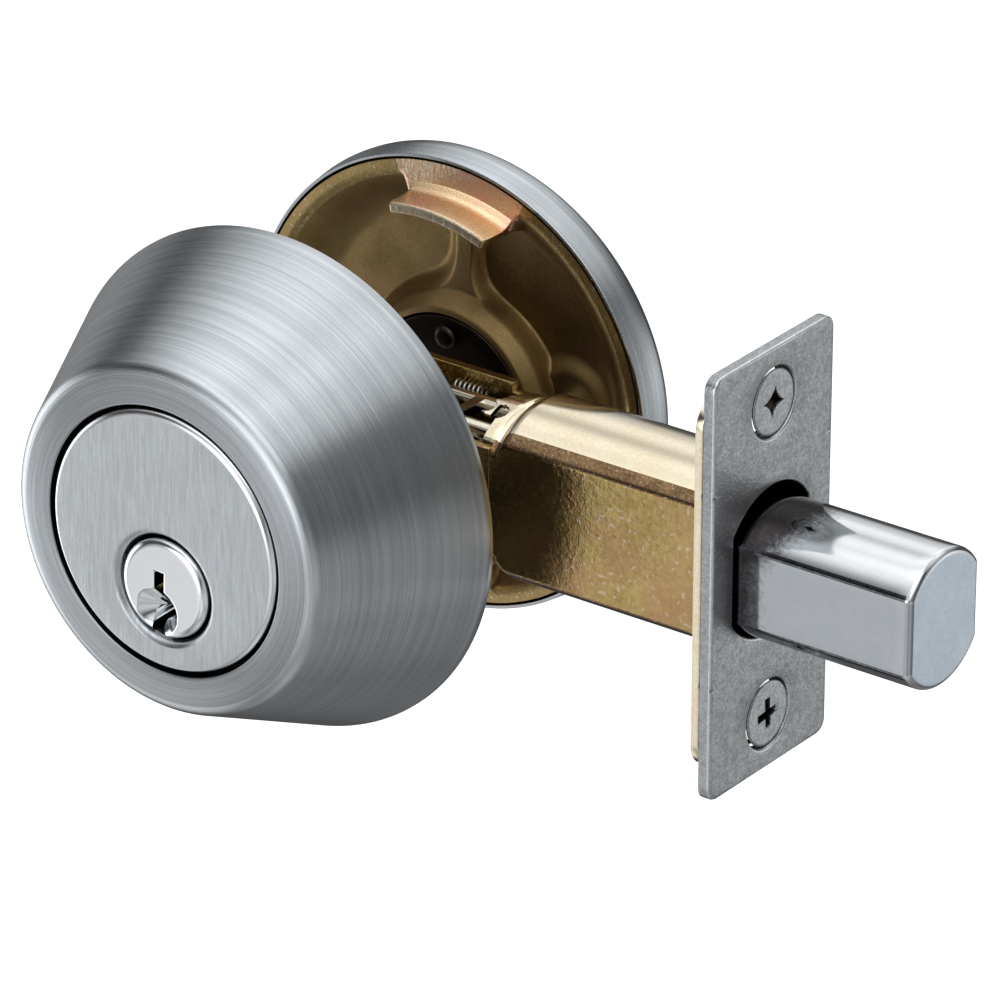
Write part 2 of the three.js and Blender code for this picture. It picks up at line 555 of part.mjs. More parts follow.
place(group, 'mounting_plate', mountingPlate(), BRONZE_ZINC);
place(group, 'rose_cover', roseCover(), SATIN_NICKEL);
place(group, 'spindle_plate', spindlePlate(), BLACK_STEEL);
RIVETS.forEach((at, i) => place(group, `plate_rivet_${i + 1}`, plateRivet(at), BLACK_STEEL));
place(keyAxis, 'spring_washer', springWasher(), STEEL);
place(keyAxis, 'thumbturn_spindle', thumbturnSpindle(), STEEL);
place(keyAxis, 'thumbturn', thumbturn(), SATIN_NICKEL);
place(keyAxis, 'thumbturn_pin', thumbturnPin(), STEEL);
place(group, 'mounting_screw_left', mountingScrew(-1), STEEL);
place(group, 'mounting_screw_right', mountingScrew(1), STEEL);

export default group;
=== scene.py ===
"""Deadbolt door lock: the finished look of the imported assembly, in its own frame.

Every shape is given in millimetres in the assembly's frame: X runs out along the bolt, Y from the key side
to the thumbturn side, Z up. Meshes are scaled to metres when they are made.
"""

import json
import logging
import math
from dataclasses import dataclass
from enum import Enum
from typing import Sequence

import bmesh
import bpy
import numpy as np
from mathutils import Matrix


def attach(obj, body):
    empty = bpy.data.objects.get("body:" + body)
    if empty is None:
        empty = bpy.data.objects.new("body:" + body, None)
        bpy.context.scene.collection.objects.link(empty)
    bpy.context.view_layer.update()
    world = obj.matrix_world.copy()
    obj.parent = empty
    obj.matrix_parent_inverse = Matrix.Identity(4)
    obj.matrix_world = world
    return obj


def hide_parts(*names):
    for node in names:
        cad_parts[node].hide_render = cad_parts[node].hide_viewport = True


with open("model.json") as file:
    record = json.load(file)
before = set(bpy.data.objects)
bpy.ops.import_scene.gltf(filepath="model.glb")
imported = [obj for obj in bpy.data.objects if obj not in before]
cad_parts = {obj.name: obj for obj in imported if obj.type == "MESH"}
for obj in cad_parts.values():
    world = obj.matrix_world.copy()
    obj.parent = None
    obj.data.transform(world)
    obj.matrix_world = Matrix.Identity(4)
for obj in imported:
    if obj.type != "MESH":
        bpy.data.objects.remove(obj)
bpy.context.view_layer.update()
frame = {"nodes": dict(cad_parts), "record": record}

log = logging.getLogger("deadbolt")
Array = np.ndarray
Colour = tuple[float, float, float]
MM = 0.001
KEY_Z = -6.45  # height of the plug, crank and thumbturn axis


class Body(Enum):
    """The moving bodies of the lock."""

    CASE = "lock_case"
    BOLT = "bolt"
    CRANK = "crank"
    THUMBTURN = "thumbturn"
    PLUG = "key_plug"


class Axis(Enum):
    """The direction that a turned or pushed-out shape runs along."""

    X = "X"
    Y = "Y"
    Z = "Z"

    def place(self, along: Array, u: Array, v: Array) -> Array:
        """Stacks a distance along the axis and two cross coordinates into points.

        Args:
            along: distance along the axis.
            u: first cross coordinate (Y for the X axis, else X).
            v: second cross coordinate (Z for the X and Y axes, Y for the Z axis).

        Returns:
            Points with a last axis of 3.
        """
        along, u, v = np.broadcast_arrays(along, u, v)
        order = {Axis.X: (along, u, v), Axis.Y: (u, along, v), Axis.Z: (u, v, along)}
        return np.stack(order[self], -1)


# ---- Curves ------------------------------------------------------------------------------------------------
def rounded_path(corners: Sequence[Sequence[float]], cut: float | Sequence[float], steps: int = 5) -> Array:
    """Rounds the corners of a closed polyline.

    Each corner c is replaced by the curve (1-t)^2 a + 2t(1-t) c + t^2 b, where a and b lie on its two sides at
    the distance cut from it.

    Args:
        corners: points of two or more coordinates.
        cut: how far each rounding reaches along its sides, one number or one a corner.
        steps: points on each rounding.

    Returns:
        The rounded polyline, corners times steps points.
    """
    c = np.asarray(corners, float)
    before, after = c - np.roll(c, 1, 0), np.roll(c, -1, 0) - c
    length_a = np.maximum(np.linalg.norm(before, axis=1), 1e-9)
    length_b = np.maximum(np.linalg.norm(after, axis=1), 1e-9)
    reach = np.minimum(np.broadcast_to(np.asarray(cut, float), len(c)), 0.49 * np.minimum(length_a, length_b))
    a = c - before * (reach / length_a)[:, None]
    b = c + after * (reach / length_b)[:, None]
    t = np.linspace(0, 1, steps)[:, None, None]
    return ((1 - t) ** 2 * a + 2 * t * (1 - t) * c + t**2 * b).transpose(1, 0, 2).reshape(-1, c.shape[1])


def double_d(radius: Array, flat: Array, corner: float, counts: tuple[int, int, int] = (6, 7, 22)) -> Array:
    """Outline of a circle cut off at a flat on each side, with eased corners.

    A quarter runs up the flat (flat, 0) to (flat, h), round the corner circle of the given radius that touches
    the flat and the large circle, then along the large circle to its top; the rest is mirrored.

    Args:
        radius: radius of the large circle, one for each section.
        flat: half distance between the flats, one for each section.
        corner: radius of the eased corner.
        counts: points on the flat, the corner and the arc of a quarter.

    Returns:
        Sections by outline points by (across, up).
    """
    radius, flat = (np.atleast_1d(np.asarray(v, float))[:, None] for v in (radius, flat))
    centre_u = flat - corner
    centre_v = np.sqrt(np.maximum((radius - corner) ** 2 - centre_u**2, 1e-9))
    lean = np.arctan2(centre_v, centre_u)
    t = [np.linspace(0, 1, n, endpoint=False)[None] for n in counts]
    u = [flat + 0 * t[0], centre_u + corner * np.cos(lean * t[1]), radius * np.cos(lean + (np.pi / 2 - lean) * t[2])]
    v = [centre_v * t[0], centre_v + corner * np.sin(lean * t[1]), radius * np.sin(lean + (np.pi / 2 - lean) * t[2])]
    u, v = np.concatenate(u, 1), np.concatenate(v, 1)
    top_u, top_v = np.zeros_like(radius), radius
    half_u = np.concatenate([u, top_u, -u[:, :0:-1]], 1)
    half_v = np.concatenate([v, top_v, v[:, :0:-1]], 1)
    return np.stack([np.concatenate([half_u, -half_u], 1), np.concatenate([half_v, -half_v], 1)], -1)


def smooth(x: Array, low: float, high: float) -> Array:
    """Smooth step: 0 below low, 1 above high, 3t^2 - 2t^3 between."""
    t = np.clip((x - low) / (high - low), 0, 1)
    return t * t * (3 - 2 * t)


def soft_least(a: Array, b: Array, reach: float) -> Array:
    """The lesser of two distances, with a fillet: min(a, b) - reach/4 h^2, h = max(0, 1 - |a - b| / reach)."""
    h = np.maximum(0, 1 - np.abs(a - b) / reach)
    return np.minimum(a, b) - reach / 4 * h * h


# ---- Meshes ------------------------------------------------------------------------------------------------
class Solid:
    """Grids of points gathered into one closed mesh, in millimetres."""

    def __init__(self) -> None:
        """Starts with no faces."""
        self.points: list[Array] = []
        self.faces: list[Array] = []
        self.uvs: list[Array] = []
        self.slots: list[Array] = []
        self.count = 0

    def grid(
        self,
        points: Array,
        wrap: tuple[bool, bool] = (False, True),
        slot: int | Array = 0,
        keep: Array | None = None,
    ) -> "Solid":
        """Adds the quads between the rows and columns of a grid of points.

        Args:
            points: rows by columns by 3.
            wrap: whether the last row joins the first, and the last column the first.
            slot: material slot of the faces, one number or one a face.
            keep: faces to keep, rows by columns of the faces.

        Returns:
            The solid itself.
        """
        rows, columns = points.shape[:2]
        i, j = np.meshgrid(
            np.arange(rows if wrap[0] else rows - 1), np.arange(columns if wrap[1] else columns - 1), indexing="ij"
        )
        ring = [(i, j), (i + 1, j), (i + 1, j + 1), (i, j + 1)]
        quads = np.stack([(a % rows) * columns + b % columns for a, b in ring], -1)
        uv = np.stack([np.stack([b / columns, a / rows], -1) for a, b in ring], -2)
        slots = np.broadcast_to(np.asarray(slot), i.shape)
        chosen = np.ones(i.shape, bool) if keep is None else keep
        self.points.append(points.reshape(-1, 3))
        self.faces.append(quads[chosen] + self.count)
        self.uvs.append(uv[chosen])
        self.slots.append(slots[chosen])
        self.count += rows * columns
        return self

    def turned(
        self,
        path: Array,
        facets: int,
        axis: Axis = Axis.Y,
        centre: tuple[float, float] = (0, 0),
        slot: int | Array = 0,
    ) -> "Solid":
        """Adds a closed profile turned about an axis.

        A point is centre + r (cos a, sin a) across the axis and s along it; a third column of the profile moves
        the circle's centre up, so that a hole may sit off the middle.

        Args:
            path: closed profile of (radius, along) or (radius, along, centre height).
            facets: steps round the circle.
            axis: the axis that it turns about.
            centre: place of the axis across it.
            slot: material slot, one number or one a row.

        Returns:
            The solid itself.
        """
        angle = np.linspace(0, 2 * np.pi, facets, endpoint=False)[None]
        r, s = path[:, 0, None], path[:, 1, None]
        up = path[:, 2, None] if path.shape[1] > 2 else 0
        points = axis.place(s, centre[0] + r * np.cos(angle), centre[1] + up + r * np.sin(angle))
        rows = np.asarray(slot)
        return self.grid(points, (True, True), rows[:, None] if rows.ndim else slot)

    def prism(self, outline: Array, low: float, high: float, ease: float, axis: Axis, slot: int = 0) -> "Solid":
        """Adds a convex outline pushed along an axis, with eased ends.

        Rings run from the middle of one end to the middle of the other. Ring k is centre + (outline - centre) q,
        with q falling to 1 - ease / half width over a quarter circle at each end.

        Args:
            outline: points of (u, v).
            low: start along the axis.
            high: end along the axis.
            ease: radius of the eased end edges.
            axis: the axis that it is pushed along.
            slot: material slot.

        Returns:
            The solid itself.
        """
        middle = (outline.max(0) + outline.min(0)) / 2
        half = np.maximum((outline.max(0) - outline.min(0)) / 2, 1e-6)
        turn = np.linspace(0, np.pi / 2, 4)
        inset = np.concatenate([[0], 1 - np.sin(turn), [0]])
        rise = np.concatenate([[0], 1 - np.cos(turn), [1]])
        q = 1 - ease / half[None] * inset[:-1, None]
        q[0] = 0
        along = low + ease * rise[:-1]
        q, along = np.concatenate([q, q[::-1]]), np.concatenate([along, low + high - along[::-1]])
        ring = middle + (outline - middle)[None] * q[:, None]
        return self.grid(axis.place(along[:, None], ring[..., 0], ring[..., 1]), (False, True), slot)

    def mesh(self, name: str, sharp: float = 40) -> bpy.types.Mesh:
        """Makes the mesh: points in metres, doubles merged, faces out, edges sharper than the angle kept crisp.

        Args:
            name: name of the mesh.
            sharp: angle in degrees.

        Returns:
            The mesh, with a UV map whose u runs round each grid.
        """
        mesh = bpy.data.meshes.new(name)
        mesh.from_pydata((np.concatenate(self.points) * MM).tolist(), [], np.concatenate(self.faces).tolist())
        layer = mesh.uv_layers.new(name="UVMap")
        layer.data.foreach_set("uv", np.concatenate(self.uvs).astype(np.float32).ravel())
        mesh.polygons.foreach_set("material_index", np.concatenate(self.slots).astype(np.int32))
        return tidy_mesh(mesh, sharp)


def tidy_mesh(mesh: bpy.types.Mesh, sharp: float) -> bpy.types.Mesh:
    """Merges doubles, points the faces out and sets the shading.

    Args:
        mesh: the mesh to tidy.
        sharp: edges sharper than this many degrees stay crisp.

    Returns:
        The same mesh.
    """
    work = bmesh.new()
    work.from_mesh(mesh)
    bmesh.ops.remove_doubles(work, verts=work.verts, dist=2e-6)
    bmesh.ops.dissolve_degenerate(work, edges=work.edges, dist=1e-7)
    bmesh.ops.recalc_face_normals(work, faces=work.faces)
    work.to_mesh(mesh)
    work.free()
    mesh.shade_smooth()
    mesh.set_sharp_from_angle(angle=math.radians(sharp))
    return mesh


# ---- Shader nodes ------------------------------------------------------------------------------------------
Socket = bpy.types.NodeSocket


class Wiring:
    """Adds nodes to one tree and joins them."""

    def __init__(self, tree: bpy.types.NodeTree) -> None:
        """Keeps the tree."""
        self.tree = tree

    def add(self, kind: str, inputs: dict[str | int, object] | None = None, **properties: object) -> bpy.types.Node:
        """Adds a node.

        Args:
            kind: the node's type without the ShaderNode prefix.
            inputs: socket name or index to a value or to a socket that feeds it.
            properties: other settings.

        Returns:
            The node.
        """
        node = self.tree.nodes.new(kind if kind.startswith("NodeGroup") else "ShaderNode" + kind)
        for key, value in properties.items():
            setattr(node, key, value)
        for key, value in (inputs or {}).items():
            if isinstance(value, bpy.types.NodeSocket):
                self.tree.links.new(value, node.inputs[key])
            else:
                node.inputs[key].default_value = value
        return node

    def maths(self, operation: str, a: object, b: object = 0.0) -> Socket:
        """One arithmetic step; returns its result."""
        return self.add("Math", {0: a, 1: b}, operation=operation).outputs[0]

    def span(self, value: object, low: float, high: float, to_low: object, to_high: object) -> Socket:
        """Maps low..high smoothly to to_low..to_high; returns the result."""
        inputs = {"Value": value, "From Min": low, "From Max": high, "To Min": to_low, "To Max": to_high}
        return self.add("MapRange", inputs, interpolation_type="SMOOTHSTEP").outputs[0]

    def noise(self, vector: Socket, scale: object, detail: float = 2.0, roughness: float = 0.5) -> Socket:
        """Fractal noise from 0 to 1 at a place; returns the value."""
        inputs = {"Vector": vector, "Scale": scale, "Detail": detail, "Roughness": roughness}
        return self.add("TexNoise", inputs).outputs["Fac"]

    def blend(self, factor: object, a: object, b: object) -> Socket:
        """Mixes two colours; returns the colour."""
        node = self.add("Mix", {"Factor": factor}, data_type="RGBA")
        colours = [s for s in node.inputs if s.type == "RGBA"]
        for socket, value in zip(colours, (a, b)):
            if isinstance(value, bpy.types.NodeSocket):
                self.tree.links.new(value, socket)
            else:
                socket.default_value = (*value, 1.0)
        return [s for s in node.outputs if s.type == "RGBA"][0]


def millimetres(wires: Wiring) -> Socket:
    """The place on the object in millimetres.

    Args:
        wires: the tree to add to.

    Returns:
        A vector socket.
    """
    place = wires.add("TexCoord").outputs["Object"]
    return wires.add("VectorMath", {0: place, 1: (1000.0,) * 3}, operation="MULTIPLY").outputs[0]


def new_group(
    name: str, inputs: dict[str, float], outputs: Sequence[str]
) -> tuple[Wiring, bpy.types.Node, bpy.types.Node]:
    """Starts a shader node group.

    Args:
        name: name of the group.
        inputs: number inputs and their usual values.
        outputs: number outputs.

    Returns:
        The wiring, the group's input node and its output node.
    """
    tree = bpy.data.node_groups.new(name, "ShaderNodeTree")
    for label, value in inputs.items():
        tree.interface.new_socket(label, in_out="INPUT", socket_type="NodeSocketFloat").default_value = value
    for label in outputs:
        tree.interface.new_socket(label, in_out="OUTPUT", socket_type="NodeSocketFloat")
    wires = Wiring(tree)
    return wires, wires.add("NodeGroupInput"), wires.add("NodeGroupOutput")


def lathe_lines() -> bpy.types.NodeTree:
    """Fine lines that run round the Y axis, as a brush leaves on turned metal.

    Line = noise at (cos a, sin a) Sweep and (r + y) Density, so it changes fast across the profile and slowly
    round the axis. Patch is the same at a tenth of the density.

    Returns:
        The node group.
    """
    wires, given, out = new_group("lathe_lines", {"Density": 4.0, "Sweep": 1.5}, ("Line", "Patch"))
    parts = wires.add("SeparateXYZ", {0: millimetres(wires)}).outputs
    squares = [wires.maths("POWER", wires.maths("ABSOLUTE", parts[k]), 2.0) for k in (0, 2)]
    radius = wires.maths("MAXIMUM", wires.maths("SQRT", wires.maths("ADD", *squares)), 0.01)
    around = [
        wires.maths("MULTIPLY", wires.maths("DIVIDE", parts[k], radius), given.outputs["Sweep"]) for k in (0, 2)
    ]
    across = wires.maths("MULTIPLY", wires.maths("ADD", radius, parts[1]), given.outputs["Density"])
    fine = wires.add("CombineXYZ", {0: around[0], 1: around[1], 2: across}).outputs[0]
    coarse = wires.add("CombineXYZ",
                       {0: around[0], 1: around[1], 2: wires.maths("MULTIPLY", across, 0.12)}).outputs[0]
    wires.tree.links.new(wires.noise(fine, 1.0, 3.0, 0.65), out.inputs["Line"])
    wires.tree.links.new(wires.noise(coarse, 1.0, 2.0, 0.5), out.inputs["Patch"])
    return wires.tree


def straight_lines() -> bpy.types.NodeTree:
    """Fine straight lines from top to bottom, as a belt leaves on a flat face.

    Line = noise at (Density (x + y/2), Density y/2, Sweep z). Patch is the same, coarser.

    Returns:
        The node group.
    """
    wires, given, out = new_group("straight_lines", {"Density": 5.0, "Sweep": 0.25}, ("Line", "Patch"))
    parts = wires.add("SeparateXYZ", {0: millimetres(wires)}).outputs
    side = wires.maths("MULTIPLY", wires.maths("ADD", parts[0], wires.maths("MULTIPLY", parts[1], 0.5)),
                       given.outputs["Density"])
    up = wires.maths("MULTIPLY", parts[2], given.outputs["Sweep"])
    fine = wires.add("CombineXYZ", {0: side, 1: 0.0, 2: up}).outputs[0]
    coarse = wires.add("CombineXYZ", {0: wires.maths("MULTIPLY", side, 0.15), 1: 3.0, 2: up}).outputs[0]
    wires.tree.links.new(wires.noise(fine, 1.0, 3.0, 0.65), out.inputs["Line"])
    wires.tree.links.new(wires.noise(coarse, 1.0, 2.0, 0.5), out.inputs["Patch"])
    return wires.tree


def metal_grain() -> bpy.types.NodeTree:
    """Grain of plated or tumbled metal.

    Grain = fine noise at Size per mm; Cloud = slow noise over several mm; Fleck = the rare peaks of a second
    fine noise, 0 or near 1.

    Returns:
        The node group.
    """
    wires, given, out = new_group("metal_grain", {"Size": 5.0, "Cloud Size": 0.25}, ("Grain", "Cloud", "Fleck"))
    place = millimetres(wires)
    grain = wires.noise(place, given.outputs["Size"], 3.0, 0.6)
    cloud = wires.noise(place, given.outputs["Cloud Size"], 3.0, 0.55)
    peaks = wires.noise(place, wires.maths("MULTIPLY", given.outputs["Size"], 0.9), 1.0, 0.4)
    for label, socket in (("Grain", grain), ("Cloud", cloud), ("Fleck", wires.span(peaks, 0.62, 0.74, 0.0, 1.0))):
        wires.tree.links.new(socket, out.inputs[label])
    return wires.tree


class Pattern(Enum):
    """The marks that a finish carries."""

    LATHE = "lathe_lines"
    STRAIGHT = "straight_lines"
    GRAIN = "metal_grain"


PATTERNS: dict[Pattern, bpy.types.NodeTree] = {}


@dataclass(frozen=True)
class Finish:
    """One metal finish: how light, rough and marked it is."""

    name: str
    pattern: Pattern
    light: Colour
    dark: Colour
    rough: tuple[float, float]
    relief: float = 0.2
    density: float = 5.0
    sweep: float = 1.0
    anisotropy: float = 0.0
    tint: Colour | None = None
    tint_share: float = 0.0
    fleck: float = 0.0
    metallic: float = 1.0
    # Painted shadow at the bolt's root: X where it is full, X where it is gone, and its colour.
    painted_root_shadow: tuple[float, float, Colour] | None = None

    def material(self) -> bpy.types.Material:
        """Builds the material.

        Returns:
            A Principled metal whose colour, roughness and relief follow the pattern.
        """
        material = bpy.data.materials.new(self.name)
        material.use_nodes = True
        wires = Wiring(material.node_tree)
        shader = material.node_tree.nodes["Principled BSDF"]
        group = wires.add("Group")
        group.node_tree = PATTERNS[self.pattern]
        labels = ("Size", "Cloud Size") if self.pattern is Pattern.GRAIN else ("Density", "Sweep")
        for label, value in zip(labels, (self.density, self.sweep)):
            group.inputs[label].default_value = value
        fine, slow = group.outputs[0], group.outputs[1]
        share = wires.maths("ADD", wires.maths("MULTIPLY", fine, 0.6), wires.maths("MULTIPLY", slow, 0.4))
        colour = wires.blend(wires.span(share, 0.3, 0.7, 0.0, 1.0), self.dark, self.light)
        if self.tint is not None:
            grain = wires.add("Group")
            grain.node_tree = PATTERNS[Pattern.GRAIN]
            grain.inputs["Size"].default_value = 0.9
            grain.inputs["Cloud Size"].default_value = 0.12
            stain = wires.maths("MULTIPLY", wires.span(grain.outputs["Cloud"], 0.42, 0.66, 0.0, 1.0), self.tint_share)
            colour = wires.blend(stain, colour, self.tint)
        # Painted shadow: darkens the bolt's root beside the faceplate, ragged with noise.
        if self.painted_root_shadow is not None:
            start, end, shadow_colour = self.painted_root_shadow
            colour = wires.blend(self.root_shadow_mask(wires, start, end), colour, shadow_colour)
        if self.fleck and self.pattern is Pattern.GRAIN:
            colour = wires.blend(wires.maths("MULTIPLY", group.outputs["Fleck"], self.fleck), colour,
                                 (0.9, 0.87, 0.8))
        wires.tree.links.new(colour, shader.inputs["Base Color"])
        wires.tree.links.new(wires.span(share, 0.3, 0.7, self.rough[1], self.rough[0]), shader.inputs["Roughness"])
        shader.inputs["Metallic"].default_value = self.metallic
        if self.anisotropy:
            shader.inputs["Anisotropic"].default_value = self.anisotropy
            shader.inputs["Anisotropic Rotation"].default_value = 0.25
            tangent = wires.add("Tangent", direction_type="UV_MAP", uv_map="UVMap")
            wires.tree.links.new(tangent.outputs[0], shader.inputs["Tangent"])
        if self.relief:
            bump = wires.add("Bump", {"Height": fine, "Strength": self.relief, "Distance": 0.0001})
            wires.tree.links.new(bump.outputs[0], shader.inputs["Normal"])
        return material

    @staticmethod
    def root_shadow_mask(wires: Wiring, start: float, end: float) -> Socket:
        """Painted speckled shadow at the bolt's root: x - 0.9 max(0, z - 2) + 9 (noise - 0.5), from 1 at start to 0
        at end.

        Args:
            wires: the material's wiring.
            start: X where the shadow is full.
            end: X where it is gone.

        Returns:
            The mask.
        """
        place = millimetres(wires)
        parts = wires.add("SeparateXYZ", {0: place}).outputs
        lift = wires.maths("MULTIPLY", wires.maths("MAXIMUM", wires.maths("SUBTRACT", parts[2], 2.0), 0.0), 0.9)
        ragged = wires.maths("MULTIPLY", wires.maths("SUBTRACT", wires.noise(place, 1.5, 8.0, 0.8), 0.5), 9.0)
        along = wires.maths("ADD", wires.maths("SUBTRACT", parts[0], lift), ragged)
        return wires.span(along, start, end, 1.0, 0.0)


class Finishes:
    """Every finish on the lock, made once."""

    table = (
        Finish("satin_nickel_turned", Pattern.LATHE, (0.66, 0.70, 0.73), (0.44, 0.475, 0.50), (0.17, 0.27), 0.25,
               10.0, 0.7, 0.7),
        Finish("satin_nickel_belt", Pattern.STRAIGHT, (0.65, 0.685, 0.715), (0.46, 0.49, 0.515), (0.24, 0.36), 0.25,
               12.0, 0.18),
        # Darker copy of the collar's nickel on the ring round the face: painted shade.
        Finish("nickel_ring_painted_shade", Pattern.LATHE, (0.50, 0.53, 0.555), (0.33, 0.355, 0.375), (0.17, 0.27), 0.25,
               10.0, 0.7, 0.7),
        # Black painted into gaps, bores and hole walls as shade.
        Finish("gap_painted_shade", Pattern.GRAIN, (0.03, 0.031, 0.033), (0.014, 0.015, 0.016), (0.4, 0.55), 0.1, 3.0, 0.3),
        Finish("satin_nickel_inner", Pattern.GRAIN, (0.50, 0.50, 0.50), (0.30, 0.30, 0.30), (0.35, 0.5), 0.3, 3.0,
               0.3),
        Finish("pewter", Pattern.GRAIN, (0.52, 0.55, 0.565), (0.32, 0.34, 0.35), (0.26, 0.40), 0.5, 2.8, 1.0,
               fleck=0.35),
        Finish("pewter_screw", Pattern.GRAIN, (0.56, 0.59, 0.61), (0.34, 0.36, 0.37), (0.22, 0.34), 0.4, 2.4, 0.9),
        Finish("polished_chrome", Pattern.GRAIN, (0.95, 0.97, 0.99), (0.92, 0.95, 0.97), (0.05, 0.09), 0.02, 2.0,
               0.3),
        # The bolt's chrome, carrying the painted root shadow.
        Finish("bolt_chrome", Pattern.GRAIN, (0.84, 0.87, 0.90), (0.78, 0.81, 0.84), (0.05, 0.09), 0.02, 5.0, 0.35,
               painted_root_shadow=(62.8, 67.4, (0.12, 0.105, 0.11))),
        # Darker copy of the bolt's chrome on its flats: painted shade, with the painted root shadow.
        Finish("bolt_flat", Pattern.GRAIN, (0.50, 0.53, 0.56), (0.46, 0.49, 0.52), (0.06, 0.10), 0.02, 5.0, 0.35,
               painted_root_shadow=(62.8, 67.4, (0.12, 0.105, 0.11))),
        # Brighter, smoother copy of the nickel on the face disc's rim: painted highlight.
        Finish("nickel_edge_painted_highlight", Pattern.LATHE, (0.98, 0.99, 1.0), (0.86, 0.88, 0.90), (0.12, 0.20), 0.05, 6.0, 0.7),
        # Dark line along the bolt's corners: painted dark reflection.
        Finish("bolt_edge_painted_reflection", Pattern.GRAIN, (0.24, 0.25, 0.27), (0.07, 0.07, 0.08), (0.08, 0.14), 0.03, 2.0, 0.9),
        # Lighter copy of the pewter on the faceplate's eased edges: painted highlight.
        Finish("pewter_bevel_painted_highlight", Pattern.GRAIN, (0.86, 0.90, 0.92), (0.60, 0.63, 0.65), (0.22, 0.34), 0.2, 5.0, 0.8),
        # Pale blue on the bolt's end face: painted reflection.
        Finish("bolt_tip_painted_reflection", Pattern.GRAIN, (0.74, 0.83, 0.91), (0.69, 0.78, 0.86), (0.34, 0.44), 0.05, 2.0, 0.3),
        Finish("yellow_zinc", Pattern.GRAIN, (0.74, 0.58, 0.28), (0.56, 0.42, 0.17), (0.14, 0.24), 0.10, 4.0, 0.2,
               tint=(0.66, 0.46, 0.34), tint_share=0.35, fleck=0.1),
        Finish("zinc_hammered", Pattern.GRAIN, (0.62, 0.46, 0.19), (0.42, 0.29, 0.10), (0.16, 0.3), 0.8, 1.5, 0.16,
               tint=(0.56, 0.32, 0.18), tint_share=0.5, fleck=0.35),
        # Pale copy of the zinc on the tube's top and neck and on the back plate: painted highlight.
        Finish("pale_zinc_painted_highlight", Pattern.GRAIN, (0.98, 0.90, 0.72), (0.90, 0.79, 0.55), (0.10, 0.18), 0.06, 2.0, 0.15,
               tint=(0.90, 0.74, 0.66), tint_share=0.3),
        # Dark brown along the tube's upper corner: painted dark reflection.
        Finish("zinc_corner_painted_reflection", Pattern.GRAIN, (0.34, 0.22, 0.11), (0.14, 0.08, 0.045), (0.16, 0.3), 0.4, 2.5, 0.4,
               fleck=0.3),
        Finish("bronze_zinc", Pattern.GRAIN, (0.35, 0.25, 0.105), (0.22, 0.15, 0.058), (0.38, 0.5), 0.4, 6.0, 0.15,
               tint=(0.40, 0.25, 0.14), tint_share=0.4, fleck=0.1),
        # Lighter rosy copy of the plate's zinc on the upper pad: painted highlight.
        Finish("rosy_pad_painted_highlight", Pattern.GRAIN, (0.96, 0.76, 0.52), (0.74, 0.50, 0.34), (0.32, 0.46), 0.9, 2.0, 0.22,
               tint=(0.95, 0.50, 0.47), tint_share=0.75, fleck=0.8),
        # Tan copy of the plate's zinc on the rim and lower pad: painted shade.
        Finish("tan_plate_painted_shade", Pattern.GRAIN, (0.52, 0.38, 0.17), (0.34, 0.24, 0.10), (0.30, 0.44), 0.6, 2.4, 0.2,
               fleck=0.35),
        # Bright orange copy of the plate's zinc on the centring tabs: painted highlight.
        Finish("orange_tab_painted_highlight", Pattern.GRAIN, (1.0, 0.76, 0.44), (0.92, 0.62, 0.36), (0.22, 0.34), 0.3, 4.0, 0.2,
               tint=(1.0, 0.54, 0.44), tint_share=0.75, fleck=0.4),
        Finish("grey_zinc", Pattern.GRAIN, (0.74, 0.64, 0.46), (0.50, 0.41, 0.28), (0.32, 0.44), 0.8, 2.0, 0.4,
               fleck=0.6),
        # Dark steel; also painted into the tube's inside, its front end walls and the screws' cross recesses as
        # shade.
        Finish("dark_steel", Pattern.GRAIN, (0.075, 0.06, 0.05), (0.03, 0.024, 0.02), (0.3, 0.45), 0.2, 3.0, 0.3),
        Finish("pin_brass", Pattern.GRAIN, (0.66, 0.48, 0.20), (0.46, 0.32, 0.12), (0.2, 0.34), 0.1, 4.0, 0.4),
        Finish("plain_steel", Pattern.GRAIN, (0.56, 0.55, 0.52), (0.36, 0.35, 0.33), (0.2, 0.34), 0.15, 3.0, 0.3),
        Finish("bright_rod", Pattern.GRAIN, (0.90, 0.85, 0.72), (0.78, 0.72, 0.58), (0.12, 0.2), 0.05, 2.0, 0.3),
    )

    def __init__(self) -> None:
        """Builds the shared groups, then each material."""
        PATTERNS.update({Pattern.LATHE: lathe_lines(), Pattern.STRAIGHT: straight_lines(),
                         Pattern.GRAIN: metal_grain()})
        self.made = {finish.name: finish.material() for finish in self.table}

    def __getitem__(self, name: str) -> bpy.types.Material:
        """The material of that name."""
        return self.made[name]


